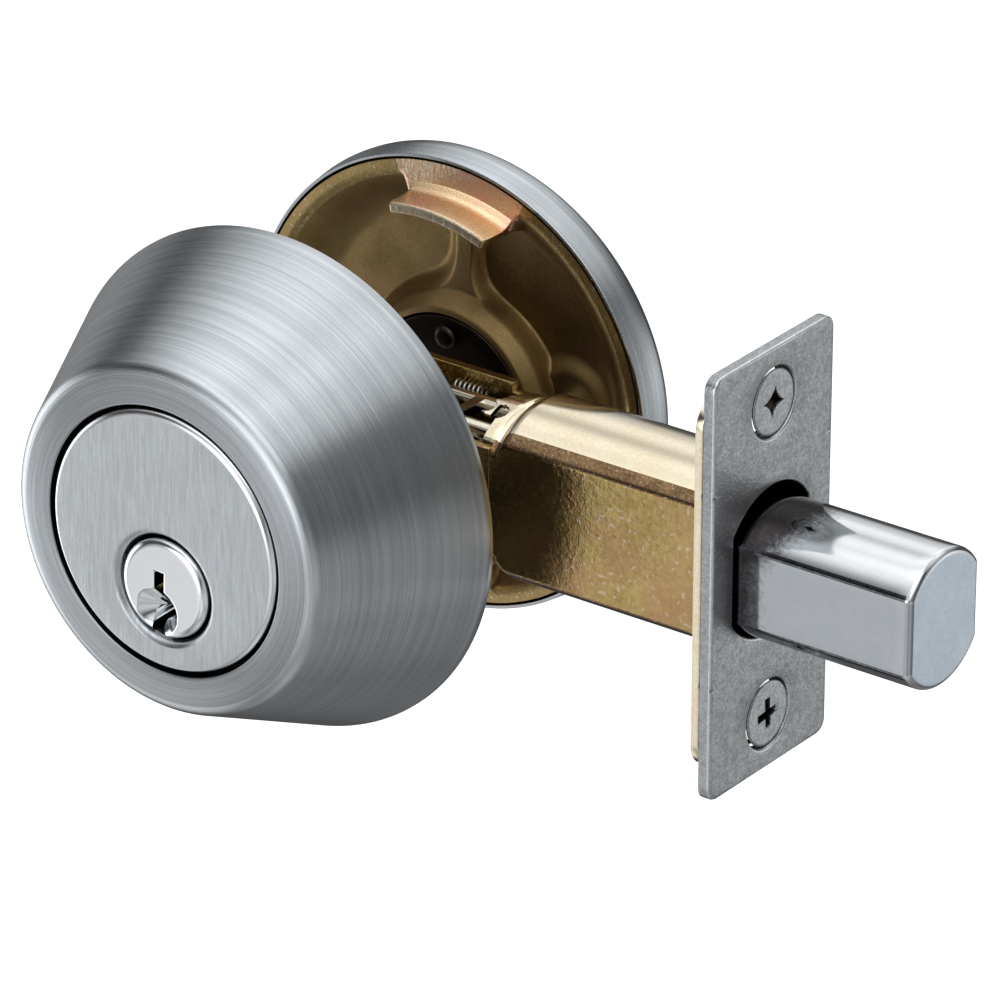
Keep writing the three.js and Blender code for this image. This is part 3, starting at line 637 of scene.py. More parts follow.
# ---- Pieces ------------------------------------------------------------------------------------------------
class Workshop:
    """Puts finished meshes into the scene as pieces of the lock."""

    def __init__(self, finishes: Finishes) -> None:
        """Keeps the finishes."""
        self.finishes = finishes

    def piece(
        self, name: str, mesh: bpy.types.Mesh, body: Body, nodes: Sequence[str], looks: Sequence[str]
    ) -> bpy.types.Object:
        """Adds one piece.

        Args:
            name: the piece's name.
            mesh: its mesh, in metres and in place.
            body: the body that it moves with.
            nodes: CAD nodes that it stands for.
            looks: finishes, one for each material slot of the mesh.

        Returns:
            The object.
        """
        for look in looks:
            mesh.materials.append(self.finishes[look])
        made = bpy.data.objects.new(name, mesh)
        bpy.context.scene.collection.objects.link(made)
        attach(made, body.value)
        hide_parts(*nodes)
        log.info("%s: %d faces on %s", name, len(mesh.polygons), body.value)
        return made

    def eased(self, node: str, body: Body, slot: str, look: str, ease: float = 0.12) -> bpy.types.Object:
        """Adds a copy of a CAD node with eased edges, in place of the node.

        The copy's doubles are merged and its flat faces joined, then a bevel rounds every edge over 30 degrees.

        Args:
            node: the CAD node.
            body: the body that it moves with.
            slot: the record's material slot; not used.
            look: the finish.
            ease: width of the bevel.

        Returns:
            The object.
        """
        mesh = frame["nodes"][node].data.copy()
        mesh.materials.clear()
        work = bmesh.new()
        work.from_mesh(mesh)
        bmesh.ops.remove_doubles(work, verts=work.verts, dist=2e-6)
        bmesh.ops.dissolve_limit(
            work, angle_limit=math.radians(1), verts=work.verts, edges=work.edges, use_dissolve_boundaries=False
        )
        work.to_mesh(mesh)
        work.free()
        mesh.shade_smooth()
        mesh.set_sharp_from_angle(angle=math.radians(30))
        made = self.piece(node + "_eased", mesh, body, [node], [look])
        bevel = made.modifiers.new("eased_edges", "BEVEL")
        bevel.width, bevel.segments, bevel.limit_method = ease * MM, 2, "ANGLE"
        bevel.angle_limit = math.radians(30)
        bevel.use_clamp_overlap = True
        return made


@dataclass
class KeySide:
    """Collar, face cylinder and plug."""

    facets: int = 288
    face_y: float = -40.9
    base_y: float = -17.4625
    base_r: float = 33.2
    face_r: float = 22.95
    disc_r: float = 17.65
    plug_r: float = 6.6
    dimple: tuple[float, float, float, float] = (-0.95, -3.4, 3.22, 3.0)

    def collar(self) -> Solid:
        """Tapered collar: a closed profile turned about Y, its lip, shoulder and base edge rounded.

        Returns:
            The solid; slot 1 is the inside, painted black as shade, slot 2 the ring round the face, a darker copy of
            the nickel as painted shade.
        """
        y = self.face_y
        corners = [
            (17.95, y + 0.5), (17.95, y + 0.05), (18.35, y), (20.6, y + 0.06), (self.face_r + 0.1, y + 0.4),
            (self.base_r, self.base_y - 0.8), (self.base_r, self.base_y), (31.2, self.base_y), (21.2, y + 2.7),
            (17.95, y + 2.7),
        ]
        path = rounded_path(corners, [0.1, 0.15, 0.25, 1.0, 1.9, 0.35, 0.12, 0.1, 0.5, 0.2], 8)
        # Slot 1 paints the collar's inside black as shade; slot 2 is the darker face ring, painted shade.
        return Solid().turned(path, self.facets, slot=np.repeat([1, 2, 2, 2, 0, 0, 0, 0, 1, 1], 8))

    def cylinder(self) -> Solid:
        """Face disc, barrel, tower and posts.

        The disc is a loft of circles: the rim circles are centred on the collar, those at the plug hole on the
        plug axis, and the flat face runs straight from one to the other.

        Returns:
            The solid; slot 1 is the inner metal, slot 2 the gaps, painted black as shade, slot 3 the disc's rim, a
            brighter copy of the nickel as painted highlight.
        """
        face, k = self.face_y - 0.1, KEY_Z
        corners = [
            (7.75, face, k), (7.2, face + 0.45, k), (7.0, face + 1.4, k), (6.9, face + 1.6, k), (6.9, -15.5, k),
            (9.4, -15.5, k),
            (9.4, -35.6, k), (19.8, -35.6, 0), (19.8, face + 2.9, 0), (17.5, face + 2.9, 0), (17.5, face + 0.6, 0),
            (16.9, face, 0),
        ]
        path = rounded_path(corners, [0.5, 0.35, 0.1, 0.1, 0.2, 0.3, 0.5, 0.2, 0.2, 0.2, 0.4, 0.45], 7)
        # Slot 2 paints the gaps at the plug hole and behind the disc black as shade; slot 3 lightens the disc's rim
        # as a painted highlight.
        inner = np.repeat([0, 0, 2, 2, 1, 1, 1, 1, 2, 2, 3, 0], 7)
        inner[-7:-2] = 3
        solid = Solid().turned(path, 224, slot=inner)
        tower = rounded_path([(-4, k + 7.3), (4, k + 7.3), (4, 13.2), (-4, 13.2)], [0.2, 0.2, 0.6, 0.6])
        solid.prism(tower, -36.6, -15.5, 0.3, Axis.Y, 1)
        for side in (-1, 1):
            ring = np.linspace(0, 2 * np.pi, 48, endpoint=False)
            post = [(4, -36.6), (4, -19), (2.35, -19), (2.35, -33), (0, -33), (0, -36.6)]
            solid.turned(rounded_path(post, [0.1, 0.3, 0.2, 0.1, 0, 0]), len(ring), centre=(side * 16.5, 0), slot=1)
            web = np.array([(6, -2), (13.5, -2), (13.5, 2), (6, 2)]) * (side, 1)
            solid.prism(rounded_path(web, 0.3), -36.6, -24, 0.3, Axis.Y, 1)
        return solid

    def plug_surface(self, x: Array, z: Array) -> Array:
        """How far the plug's front lies behind its flat face.

        The dimple is a cone: depth (1 - r / radius) about its centre. The rim is a quarter ellipse 1.1 mm wide.

        Args:
            x: across, from the plug axis.
            z: up, from the plug axis.

        Returns:
            Depth at each point.
        """
        cx, cz, radius, depth = self.dimple
        q = 1 - np.hypot(x - cx, z - cz) / radius
        cone = depth * (q + np.sqrt(q * q + 0.0004)) / 2
        edge = np.clip((np.hypot(x, z) - self.plug_r + 1.1) / 1.1, 0, 0.9999)
        return cone + 0.8 * (1 - np.sqrt(1 - edge**2))

    def plug(self) -> Solid:
        """Plug with its keyway.

        The face is a ribbon from the keyway's edge to the rim: point (1-t) slot(s) + t rim(s), with both paths
        running from the right of the keyway's mouth over the top to its left. Its rows go on down the outside,
        across the back and up the walls of the slot, and its two ends close to a line at the mouth.

        Returns:
            The solid.
        """
        path = np.array([
            (0.05, -6.5998), (0.05, -6.3), (-0.55, -5.6), (-0.55, -4.8), (1.05, -4.1), (1.15, -2.85), (0.1, -2.5),
            (0.12, -1.4),
            (0.2, 2.2), (-1.35, 2.35), (-1.4, -0.1), (-0.98, -1.74), (-0.35, -2.75), (-1.0, -3.3), (-1.9, -3.45),
            (-2.2, -3.9),
            (-2.2, -6.2225),
        ])
        aim = np.array([0, -87, -80, -70, -55, -35, -10, 10, 60, 115, 165, 180, 190, 197, 205, 212, 0], float)
        aim[0], aim[-1] = (
            math.degrees(math.atan2(path[e, 1], path[e, 0])) % 360 - (360 if e == 0 else 0) for e in (0, -1)
        )
        run = np.concatenate([[0], np.cumsum(np.linalg.norm(np.diff(path, axis=0), axis=1))])
        s = np.union1d(np.linspace(0, run[-1], 460), run)
        slot = np.stack([np.interp(s, run, path[:, k]) for k in (0, 1)], -1)
        angle = np.radians(np.interp(s, run, aim))
        rim = self.plug_r * np.stack([np.cos(angle), np.sin(angle)], -1)
        t = 1 - (1 - np.linspace(0, 1, 56)) ** 1.6
        t = np.concatenate([[0.0], t[1:] * 0.994 + 0.006])[:, None, None]
        flat = (1 - t) * slot + t * rim
        front = self.face_y - 0.15 + self.plug_surface(flat[..., 0], flat[..., 1])
        front[0] += 0.07
        back = np.full_like(front, -15.35)
        rows = np.concatenate([flat, flat[::-8], flat[:1]])
        depth = np.concatenate([front, back[::8], back[:1]])
        solid = Solid().grid(np.stack([rows[..., 0], depth, rows[..., 1] + KEY_Z], -1), (True, False))
        tail = [(0, -15.4), (4.9, -15.4), (4.9, -14), (6, -14), (6, -13), (0, -13)]
        solid.turned(rounded_path(tail, [0, 0.1, 0.1, 0.2, 0.2, 0]), 64, centre=(0, KEY_Z))
        for side in (-1, 1):
            lug = np.array([(3, -1.2), (5.4, -1.2), (5.4, 1.2), (3, 1.2)]) * (side, 1) + (0, KEY_Z)
            solid.prism(rounded_path(lug, 0.2), -13.2, -12.1, 0.15, Axis.Y)
        return solid

    def build(self, shop: Workshop) -> None:
        """Adds the pieces of the key side."""
        shop.piece("collar", self.collar().mesh("collar", 50), Body.CASE, ["cylinder_collar"],
                   ["satin_nickel_turned", "gap_painted_shade", "nickel_ring_painted_shade"])
        shop.piece("face_cylinder", self.cylinder().mesh("face_cylinder"), Body.CASE,
                   ["cylinder_housing"],
                   ["satin_nickel_belt", "satin_nickel_inner", "gap_painted_shade", "nickel_edge_painted_highlight"])
        shop.piece("plug", self.plug().mesh("plug", 50), Body.PLUG, ["key_plug"],
                   ["polished_chrome"])
        shop.eased("pin_chamber_cap", Body.CASE, "pin_brass", "pin_brass")
        shop.eased("tailpiece_cap", Body.CASE, "pin_brass", "pin_brass")
        shop.eased("plug_retainer_clip", Body.PLUG, "plain_steel", "plain_steel", 0.08)


@dataclass
class BoltAndTube:
    """Bolt, its tail and the tube that it slides in."""

    bolt_r: float = 9.1
    bolt_flat: float = 7.5
    bolt_z: float = -0.6
    rear_x: float = 52.5
    tip_x: float = 88.0
    nose: float = 0.9
    tube_r: float = 12.0
    tube_flat: float = 8.3
    tube_front: float = 59.85
    wall: float = 0.6

    def bolt(self) -> Solid:
        """Bolt: a double-D section run along X, its nose rounded.

        Over the nose the section draws in by e (1 - cos a) while x runs on by e sin a, then a flat end closes it.

        Returns:
            The solid; slot 1 is the end face, painted pale blue as a reflection, slot 2 the dark line along each
            corner, a painted dark reflection, slot 3 the flats, a darker copy of the chrome as painted shade.
        """
        a = np.linspace(0, np.pi / 2, 9)
        x = np.concatenate([[self.rear_x, self.rear_x, self.rear_x + 0.3],
                            np.linspace(self.rear_x + 1, self.tip_x - self.nose, 24),
                            self.tip_x - self.nose + self.nose * np.sin(a[1:]), [self.tip_x, self.tip_x]])
        inset = np.concatenate([[0.3, 0.3, 0], np.zeros(24), self.nose * (1 - np.cos(a[1:])), [self.nose + 0.3, 0]])
        ring = double_d(self.bolt_r - inset, self.bolt_flat - inset, 0.7)
        ring[0], ring[-1] = 0, 0
        points = Axis.X.place(x[:, None], ring[..., 0], ring[..., 1] + self.bolt_z)
        height = np.abs(ring[:-1, :, 1] + np.roll(ring[:-1, :, 1], -1, 1)) / 2
        # Slot 3 darkens the flats, slot 2 the corners and slot 1 paints the end face pale blue: painted shade and
        # reflections.
        slot = np.select([height < 4.75, (height < 5.75) & (x[:-1, None] < self.tip_x - self.nose)], [3, 2], 0)
        slot[-3:] = 1
        return Solid().grid(points, (False, True), slot)

    def tube(self) -> Solid:
        """Tube with a drawn-in neck that has a window and a slanted mouth.

        The section's radius and flat follow x: neck, a fold, then a rounded shoulder up to the full tube. The
        wall's inside is the same section drawn in by the wall. Faces inside the window or behind the mouth are
        left out, and the points beside their outlines are moved onto them.

        Returns:
            The solid; slot 0 is the sides, 1 the top and the neck, painted pale as a highlight, 2 the corner line, a
            painted dark reflection, 3 the inside, painted dark as shade.
        """
        x = np.concatenate([np.arange(19, 25.7, 0.16), [25.72, 25.74], np.arange(25.9, 28.6, 0.13),
                            np.linspace(28.8, self.tube_front, 24)])
        knots = np.array([
            (19, 10.9, 7.3), (25.2, 10.95, 7.35), (25.72, 10.9, 7.35), (25.74, 10.88, 8.3), (26.3, 10.7, 8.3),
            (26.6, 10.75, 8.3),
            (26.9, 11.2, 8.3), (27.3, 11.62, 8.3), (27.8, 11.88, 8.3), (28.4, 12, 8.3), (60, 12, 8.3),
        ])
        radius, flat = (np.interp(x, knots[:, 0], knots[:, k]) for k in (1, 2))
        ring = double_d(radius, flat, 1.1, (6, 7, 34))
        inside = double_d(radius - self.wall, flat - self.wall, 0.7, (6, 7, 34))
        place = np.broadcast_to(x[:, None], ring.shape[:2]).copy()
        y, z = ring[..., 0], ring[..., 1]

        def gap(px: Array, py: Array, pz: Array) -> Array:
            """Distance outside the openings, less than 0 within one."""
            window = np.hypot((px - 23.7) / 1.25, (py + 3.3) / 1.25) * 1.25 - 1.25
            window = np.maximum(window, 23.0 - px) + 20 * (pz < 4)
            mouth = px - np.interp(py, [-7.4, -4.6, -4.2, -1.6, -1.2, 3, 8],
                                   [24.0, 24.0, 21.6, 21.6, 22.4, 23.8, 23.8])
            notch = np.hypot(px - 21.4, py + 2.9) - 1.3
            mouth = np.minimum(mouth, notch) + 20 * (pz < 5.5)
            return np.minimum(window, mouth)

        distance = gap(place, y, z)
        step = 0.02
        slope = (gap(place + step, y, z) - distance) / step
        near = np.abs(distance) < 0.1
        place = np.where(near, place - np.clip(distance * np.sign(slope), -0.1, 0.1), place)
        middle = (distance[:-1] + distance[1:]) / 2
        middle = (middle + np.roll(middle, -1, 1)) / 2
        keep = middle > 0
        solid = Solid()
        outer = Axis.X.place(place, y, z)
        inner = Axis.X.place(place, inside[..., 0], inside[..., 1])
        height = np.abs(z[0]) + 0 * z[:-1]
        height = (height + np.roll(height, -1, 1)) / 2
        corner = np.sqrt(self.tube_r**2 - self.tube_flat**2)
        # Slot 1 paints the top and neck pale as a highlight; slot 2 paints the upper corner dark as a reflection.
        look = np.select([height > corner + 0.55, height > corner - 0.75], [1, 2], 0)
        look = np.where(place[:-1] < 25.7, 1, look)
        solid.grid(outer, (False, True), look, keep)
        # The inside is painted dark as shade.
        solid.grid(inner, (False, True), 3, keep)
        self.edge_walls(solid, outer, inner, keep)
        return solid

    @staticmethod
    def edge_walls(solid: Solid, outer: Array, inner: Array, keep: Array) -> None:
        """Joins two skins with a wall wherever a kept face has no kept neighbour.

        The wall at the front end, past X 50, is painted dark as shade; the walls of the neck's openings take the tube
        top's pale zinc, a painted highlight.

        Args:
            solid: where the walls go.
            outer: rows by columns by 3, the outer skin; its columns wrap.
            inner: the inner skin.
            keep: faces kept in both skins.
        """
        rows, columns = outer.shape[:2]
        padded = np.zeros((rows + 1, columns), bool)
        padded[1:-1] = keep
        index = np.arange(rows * columns).reshape(rows, columns)
        right = np.roll(index, -1, 1)
        across = padded[1:] != padded[:-1]
        pairs = [np.stack([index[across], right[across]], -1)]
        along = keep != np.roll(keep, 1, 1)
        pairs.append(np.stack([index[:-1][along], index[1:][along]], -1))
        ends = np.concatenate(pairs)
        strip = np.stack([outer.reshape(-1, 3)[ends], inner.reshape(-1, 3)[ends]], 1)
        quads = np.arange(len(ends) * 4).reshape(-1, 2, 2)
        solid.points.append(strip.reshape(-1, 3))
        faces = np.stack([quads[:, 0, 0], quads[:, 0, 1], quads[:, 1, 1], quads[:, 1, 0]], -1)
        solid.faces.append(faces + solid.count)
        solid.uvs.append(np.zeros((len(ends), 4, 2)))
        # Walls at the front end are painted dark as shade; the neck's walls take the painted highlight.
        solid.slots.append(np.where(strip[:, 0, 0, 0] > 50, 3, 1))
        solid.count += len(ends) * 4

    def spring(self) -> Solid:
        """Detent spring: a wire of radius 0.17 mm carried along a helix of radius 0.83 mm about X.

        Returns:
            The solid.
        """
        turns, wire, coil = 6, 0.17, 0.83
        s = np.linspace(0, 1, turns * 20)
        angle = 2 * np.pi * turns * s
        along = 10.4 + 4.2 * s
        a = np.linspace(0, 2 * np.pi, 8, endpoint=False)[None]
        reach = coil + wire * np.cos(a)
        points = Axis.X.place(along[:, None] + wire * np.sin(a), 5.65 + reach * np.cos(angle)[:, None],
                              6.9 + reach * np.sin(angle)[:, None])
        ends = [np.broadcast_to(points[e].mean(0), points[e].shape)[None] for e in (0, -1)]
        return Solid().grid(np.concatenate([ends[0], points, ends[1]]), (False, True))

    def build(self, shop: Workshop) -> None:
        """Adds the bolt, the tube and what lies between."""
        shop.piece("bolt_bar", self.bolt().mesh("bolt_bar", 50), Body.BOLT, ["bolt"],
                   ["bolt_chrome", "bolt_tip_painted_reflection", "bolt_edge_painted_reflection", "bolt_flat"])
        shop.piece("tube", self.tube().mesh("tube", 55), Body.CASE, ["bolt_tube"],
                   ["zinc_hammered", "pale_zinc_painted_highlight", "zinc_corner_painted_reflection", "dark_steel"])
        shop.piece("detent_coil", self.spring().mesh("detent_coil"), Body.CASE, ["detent_spring"],
                   ["plain_steel"])
        shop.eased("bolt_tail", Body.BOLT, "plain_steel", "bright_rod", 0.1)
        shop.eased("bolt_tail_block", Body.BOLT, "plain_steel", "plain_steel", 0.2)
        shop.eased("crank", Body.CRANK, "dark_steel", "dark_steel", 0.15)
        for side in ("near", "far"):
            shop.eased(f"crank_case_{side}", Body.CASE, "yellow_zinc", "zinc_hammered", 0.06)
        for k in (1, 2, 3):
            shop.eased(f"case_spacer_{k}", Body.CASE, "plain_steel", "plain_steel", 0.1)


@dataclass
class EdgePlates:
    """Faceplate, back plate and their two screws."""

    width: float = 25.4
    height: float = 57.15
    front_x: float = 62.6
    screw_z: float = 21.2
    bolt_hole_r: float = 10.0
    bolt_hole_flat: float = 8.1
    screw_hole_r: float = 4.65

    def plate(self, height: float, corner: float, rear: float, front: float, ease: float, face: int) -> Solid:
        """Plate with two screw holes and the bolt's hole.

        It is three cells, one about each hole. A cell is a ring of quads: point (1-t) hole(s) + t outline(s), where
        hole(s) lies on the hole's edge in the direction of outline(s). Near an edge at distance d the surface drops
        by ease (1 - sqrt(1 - (1 - d/ease)^2)).

        Args:
            height: height of the plate.
            corner: radius of its corners.
            rear: X of the back.
            front: X of the front.
            ease: radius of the eased front edges.
            face: material slot of the front.

        Returns:
            The solid; slot 1 is the holes' walls, painted black as shade, slot 2 the eased edges of a plate whose
            front is slot 0, painted light as a highlight.
        """
        half = np.array([self.width, height]) / 2
        split = 13.0
        cells = ((split, half[1], self.screw_z, False), (-split, split, 0.0, True),
                 (-half[1], -split, -self.screw_z, False))
        solid = Solid()
        for low, high, centre, is_bolt in cells:
            across = np.linspace(-half[0], half[0], 33)
            up = np.linspace(low, high, 33)
            sides = [np.stack([across, np.full(33, low)], -1), np.stack([np.full(33, half[0]), up], -1),
                     np.stack([across[::-1], np.full(33, high)], -1), np.stack([np.full(33, -half[0]), up[::-1]], -1)]
            outline = np.concatenate([side[:-1] for side in sides])
            rounded = half - corner
            over = np.maximum(np.abs(outline) - rounded, 0)
            reach = np.linalg.norm(over, axis=1)
            pull = np.where((over.min(1) > 0) & (reach > corner), corner / np.maximum(reach, 1e-9), 1)
            outline = np.where(over > 0, np.sign(outline) * (rounded + over * pull[:, None]), outline)
            angle = np.arctan2(outline[:, 1] - centre, outline[:, 0])
            if is_bolt:
                reach = np.minimum(self.bolt_hole_r, self.bolt_hole_flat / np.maximum(np.abs(np.cos(angle)), 1e-6))
            else:
                reach = np.full(len(angle), self.screw_hole_r)
            hole = np.stack([reach * np.cos(angle), centre + reach * np.sin(angle)], -1)
            near = ease * np.array([0, 0.06, 0.2, 0.45, 1.0])
            span = np.linalg.norm(outline - hole, axis=1)[:, None]
            t = np.concatenate([near / span, np.linspace(ease, 1, 7)[None, 1:-1] + 0 * span, 1 - near[::-1] / span],
                               1)
            t = np.sort(np.clip(t, 0, 1), 1).T[..., None]
            flat = (1 - t) * hole + t * outline
            inside = np.abs(flat) - (half - corner)
            edge = corner - np.linalg.norm(np.maximum(inside, 0), axis=-1) - np.minimum(inside.max(-1), 0)
            around = np.linalg.norm(flat - hole[None], axis=-1) if not is_bolt else np.minimum(
                np.abs(self.bolt_hole_r - np.hypot(flat[..., 0], flat[..., 1]))
                + 9 * (np.abs(np.hypot(hole[:, 0], hole[:, 1]) - self.bolt_hole_r) > 0.01),
                np.linalg.norm(flat - hole[None], axis=-1))
            drops = [ease * (1 - np.sqrt(1 - np.clip(1 - d / ease, 0, 1) ** 2)) for d in (edge, around)]
            drop = drops[0] + drops[1]
            top = Axis.X.place(front - drop, flat[..., 0], flat[..., 1])
            bottom = Axis.X.place(np.full(drop.shape, rear), flat[..., 0], flat[..., 1])
            trim = drops[0] if face else drop
            eased = (trim[:-1] > 0.04) | (trim[1:] > 0.04)
            # On the faceplate the eased edges take the lighter pewter as painted highlight; on the back plate the
            # front is painted black as shade and the eased edges take the pale zinc highlight.
            solid.grid(top, slot=np.where(eased, 2 * (1 - face), face)).grid(bottom)
            # Hole walls are painted black as shade.
            solid.grid(np.stack([top[0], bottom[0]]), slot=1)
            outer_edge = np.abs(edge[-1]) < 1e-3
            wall = (outer_edge & np.roll(outer_edge, -1))[None]
            solid.grid(np.stack([top[-1], bottom[-1]]), keep=wall)
        return solid

    def screw(self, z: float, turn: float, power: float) -> Solid:
        """Flat screw head with a cross recess, and a threaded shank.

        The head is a polar grid. Recess depth is 1.8 (1 - f)^0.5 where f = (|a|^p + |b|^p)^(1/p) / 2.35 is below 1,
        with a and b measured along the two arms and p the power. The thread is a radius that rises and falls with
        the distance along less the turn.

        Args:
            z: height of the screw.
            turn: how far the cross is turned, in degrees.
            power: p of the cross, or 0 for straight arms 1.1 mm wide.

        Returns:
            The solid; slot 1 is the floor of the cross, painted dark as shade.
        """
        front, radius = self.front_x - 0.05, 4.3
        angle = np.linspace(0, 2 * np.pi, 192, endpoint=False)[None]
        r = np.concatenate([np.linspace(0, 2.5, 34), np.linspace(2.6, 3.9, 8),
                            3.9 + 0.4 * np.sin(np.linspace(0.2, np.pi / 2, 7))])[:, None]
        lean = math.radians(turn)
        a, b = np.abs(r * np.cos(angle - lean)), np.abs(r * np.sin(angle - lean))
        f = (a**power + b**power) ** (1 / power) / 2.35 if power else np.maximum(np.minimum(a, b) / 0.55,
                                                                                 np.maximum(a, b) / 2.2)
        recess = 1.8 * np.sqrt(np.clip(1 - f, 0, 1)) * smooth(1 - f, 0, 0.12)
        rim = 0.16 * (1 - np.sqrt(1 - np.clip((r - 3.9) / 0.4, 0, 1) ** 2))
        x = front - recess - rim - 0.02 * (r / radius) ** 2
        head = Axis.X.place(x, r * np.cos(angle), z + r * np.sin(angle))
        # The floor of the cross is painted dark as shade.
        slot = (recess > 0.5).astype(int)
        along = np.concatenate([[front - 0.3, front - 2.3], np.linspace(front - 2.5, 56, 90), [55.3, 55, 55]])
        thread = 0.28 * np.abs(((along[:, None] / 0.9 - angle / (2 * np.pi)) % 1) * 2 - 1)
        core = np.concatenate([[radius, 2.0], np.full(90, 1.95), [1.2, 0.6, 0]])[:, None]
        rr = core - thread * np.concatenate([[0, 0], np.ones(90), [0, 0, 0]])[:, None]
        body = Axis.X.place(along[:, None], rr * np.cos(angle), z + rr * np.sin(angle))
        slot = np.concatenate([slot, np.zeros((len(body) - 1, slot.shape[1]), int)])
        return Solid().grid(np.concatenate([head, body]), (False, True), slot)

    def build(self, shop: Workshop) -> None:
        """Adds the plates and screws."""
        front = self.plate(self.height, 1.8, self.front_x - 1.6, self.front_x, 0.35, 0)
        shop.piece("edge_faceplate", front.mesh("edge_faceplate", 50), Body.CASE, ["faceplate"],
                   ["pewter", "gap_painted_shade", "pewter_bevel_painted_highlight"])
        back = self.plate(49.5, 3.5, 59.8, 60.9, 0.25, 1)
        shop.piece("edge_back_plate", back.mesh("edge_back_plate", 50), Body.CASE, ["back_plate"],
                   ["pale_zinc_painted_highlight", "gap_painted_shade"])
        for name, sign, turn, power in (("upper", 1, -8, 0.68), ("lower", -1, 4, 0.0)):
            screw = self.screw(sign * self.screw_z, turn, power)
            shop.piece(f"plate_screw_{name}", screw.mesh(f"plate_screw_{name}", 35), Body.CASE,
                       [f"faceplate_screw_{name}"],
                       ["pewter_screw", "dark_steel"])


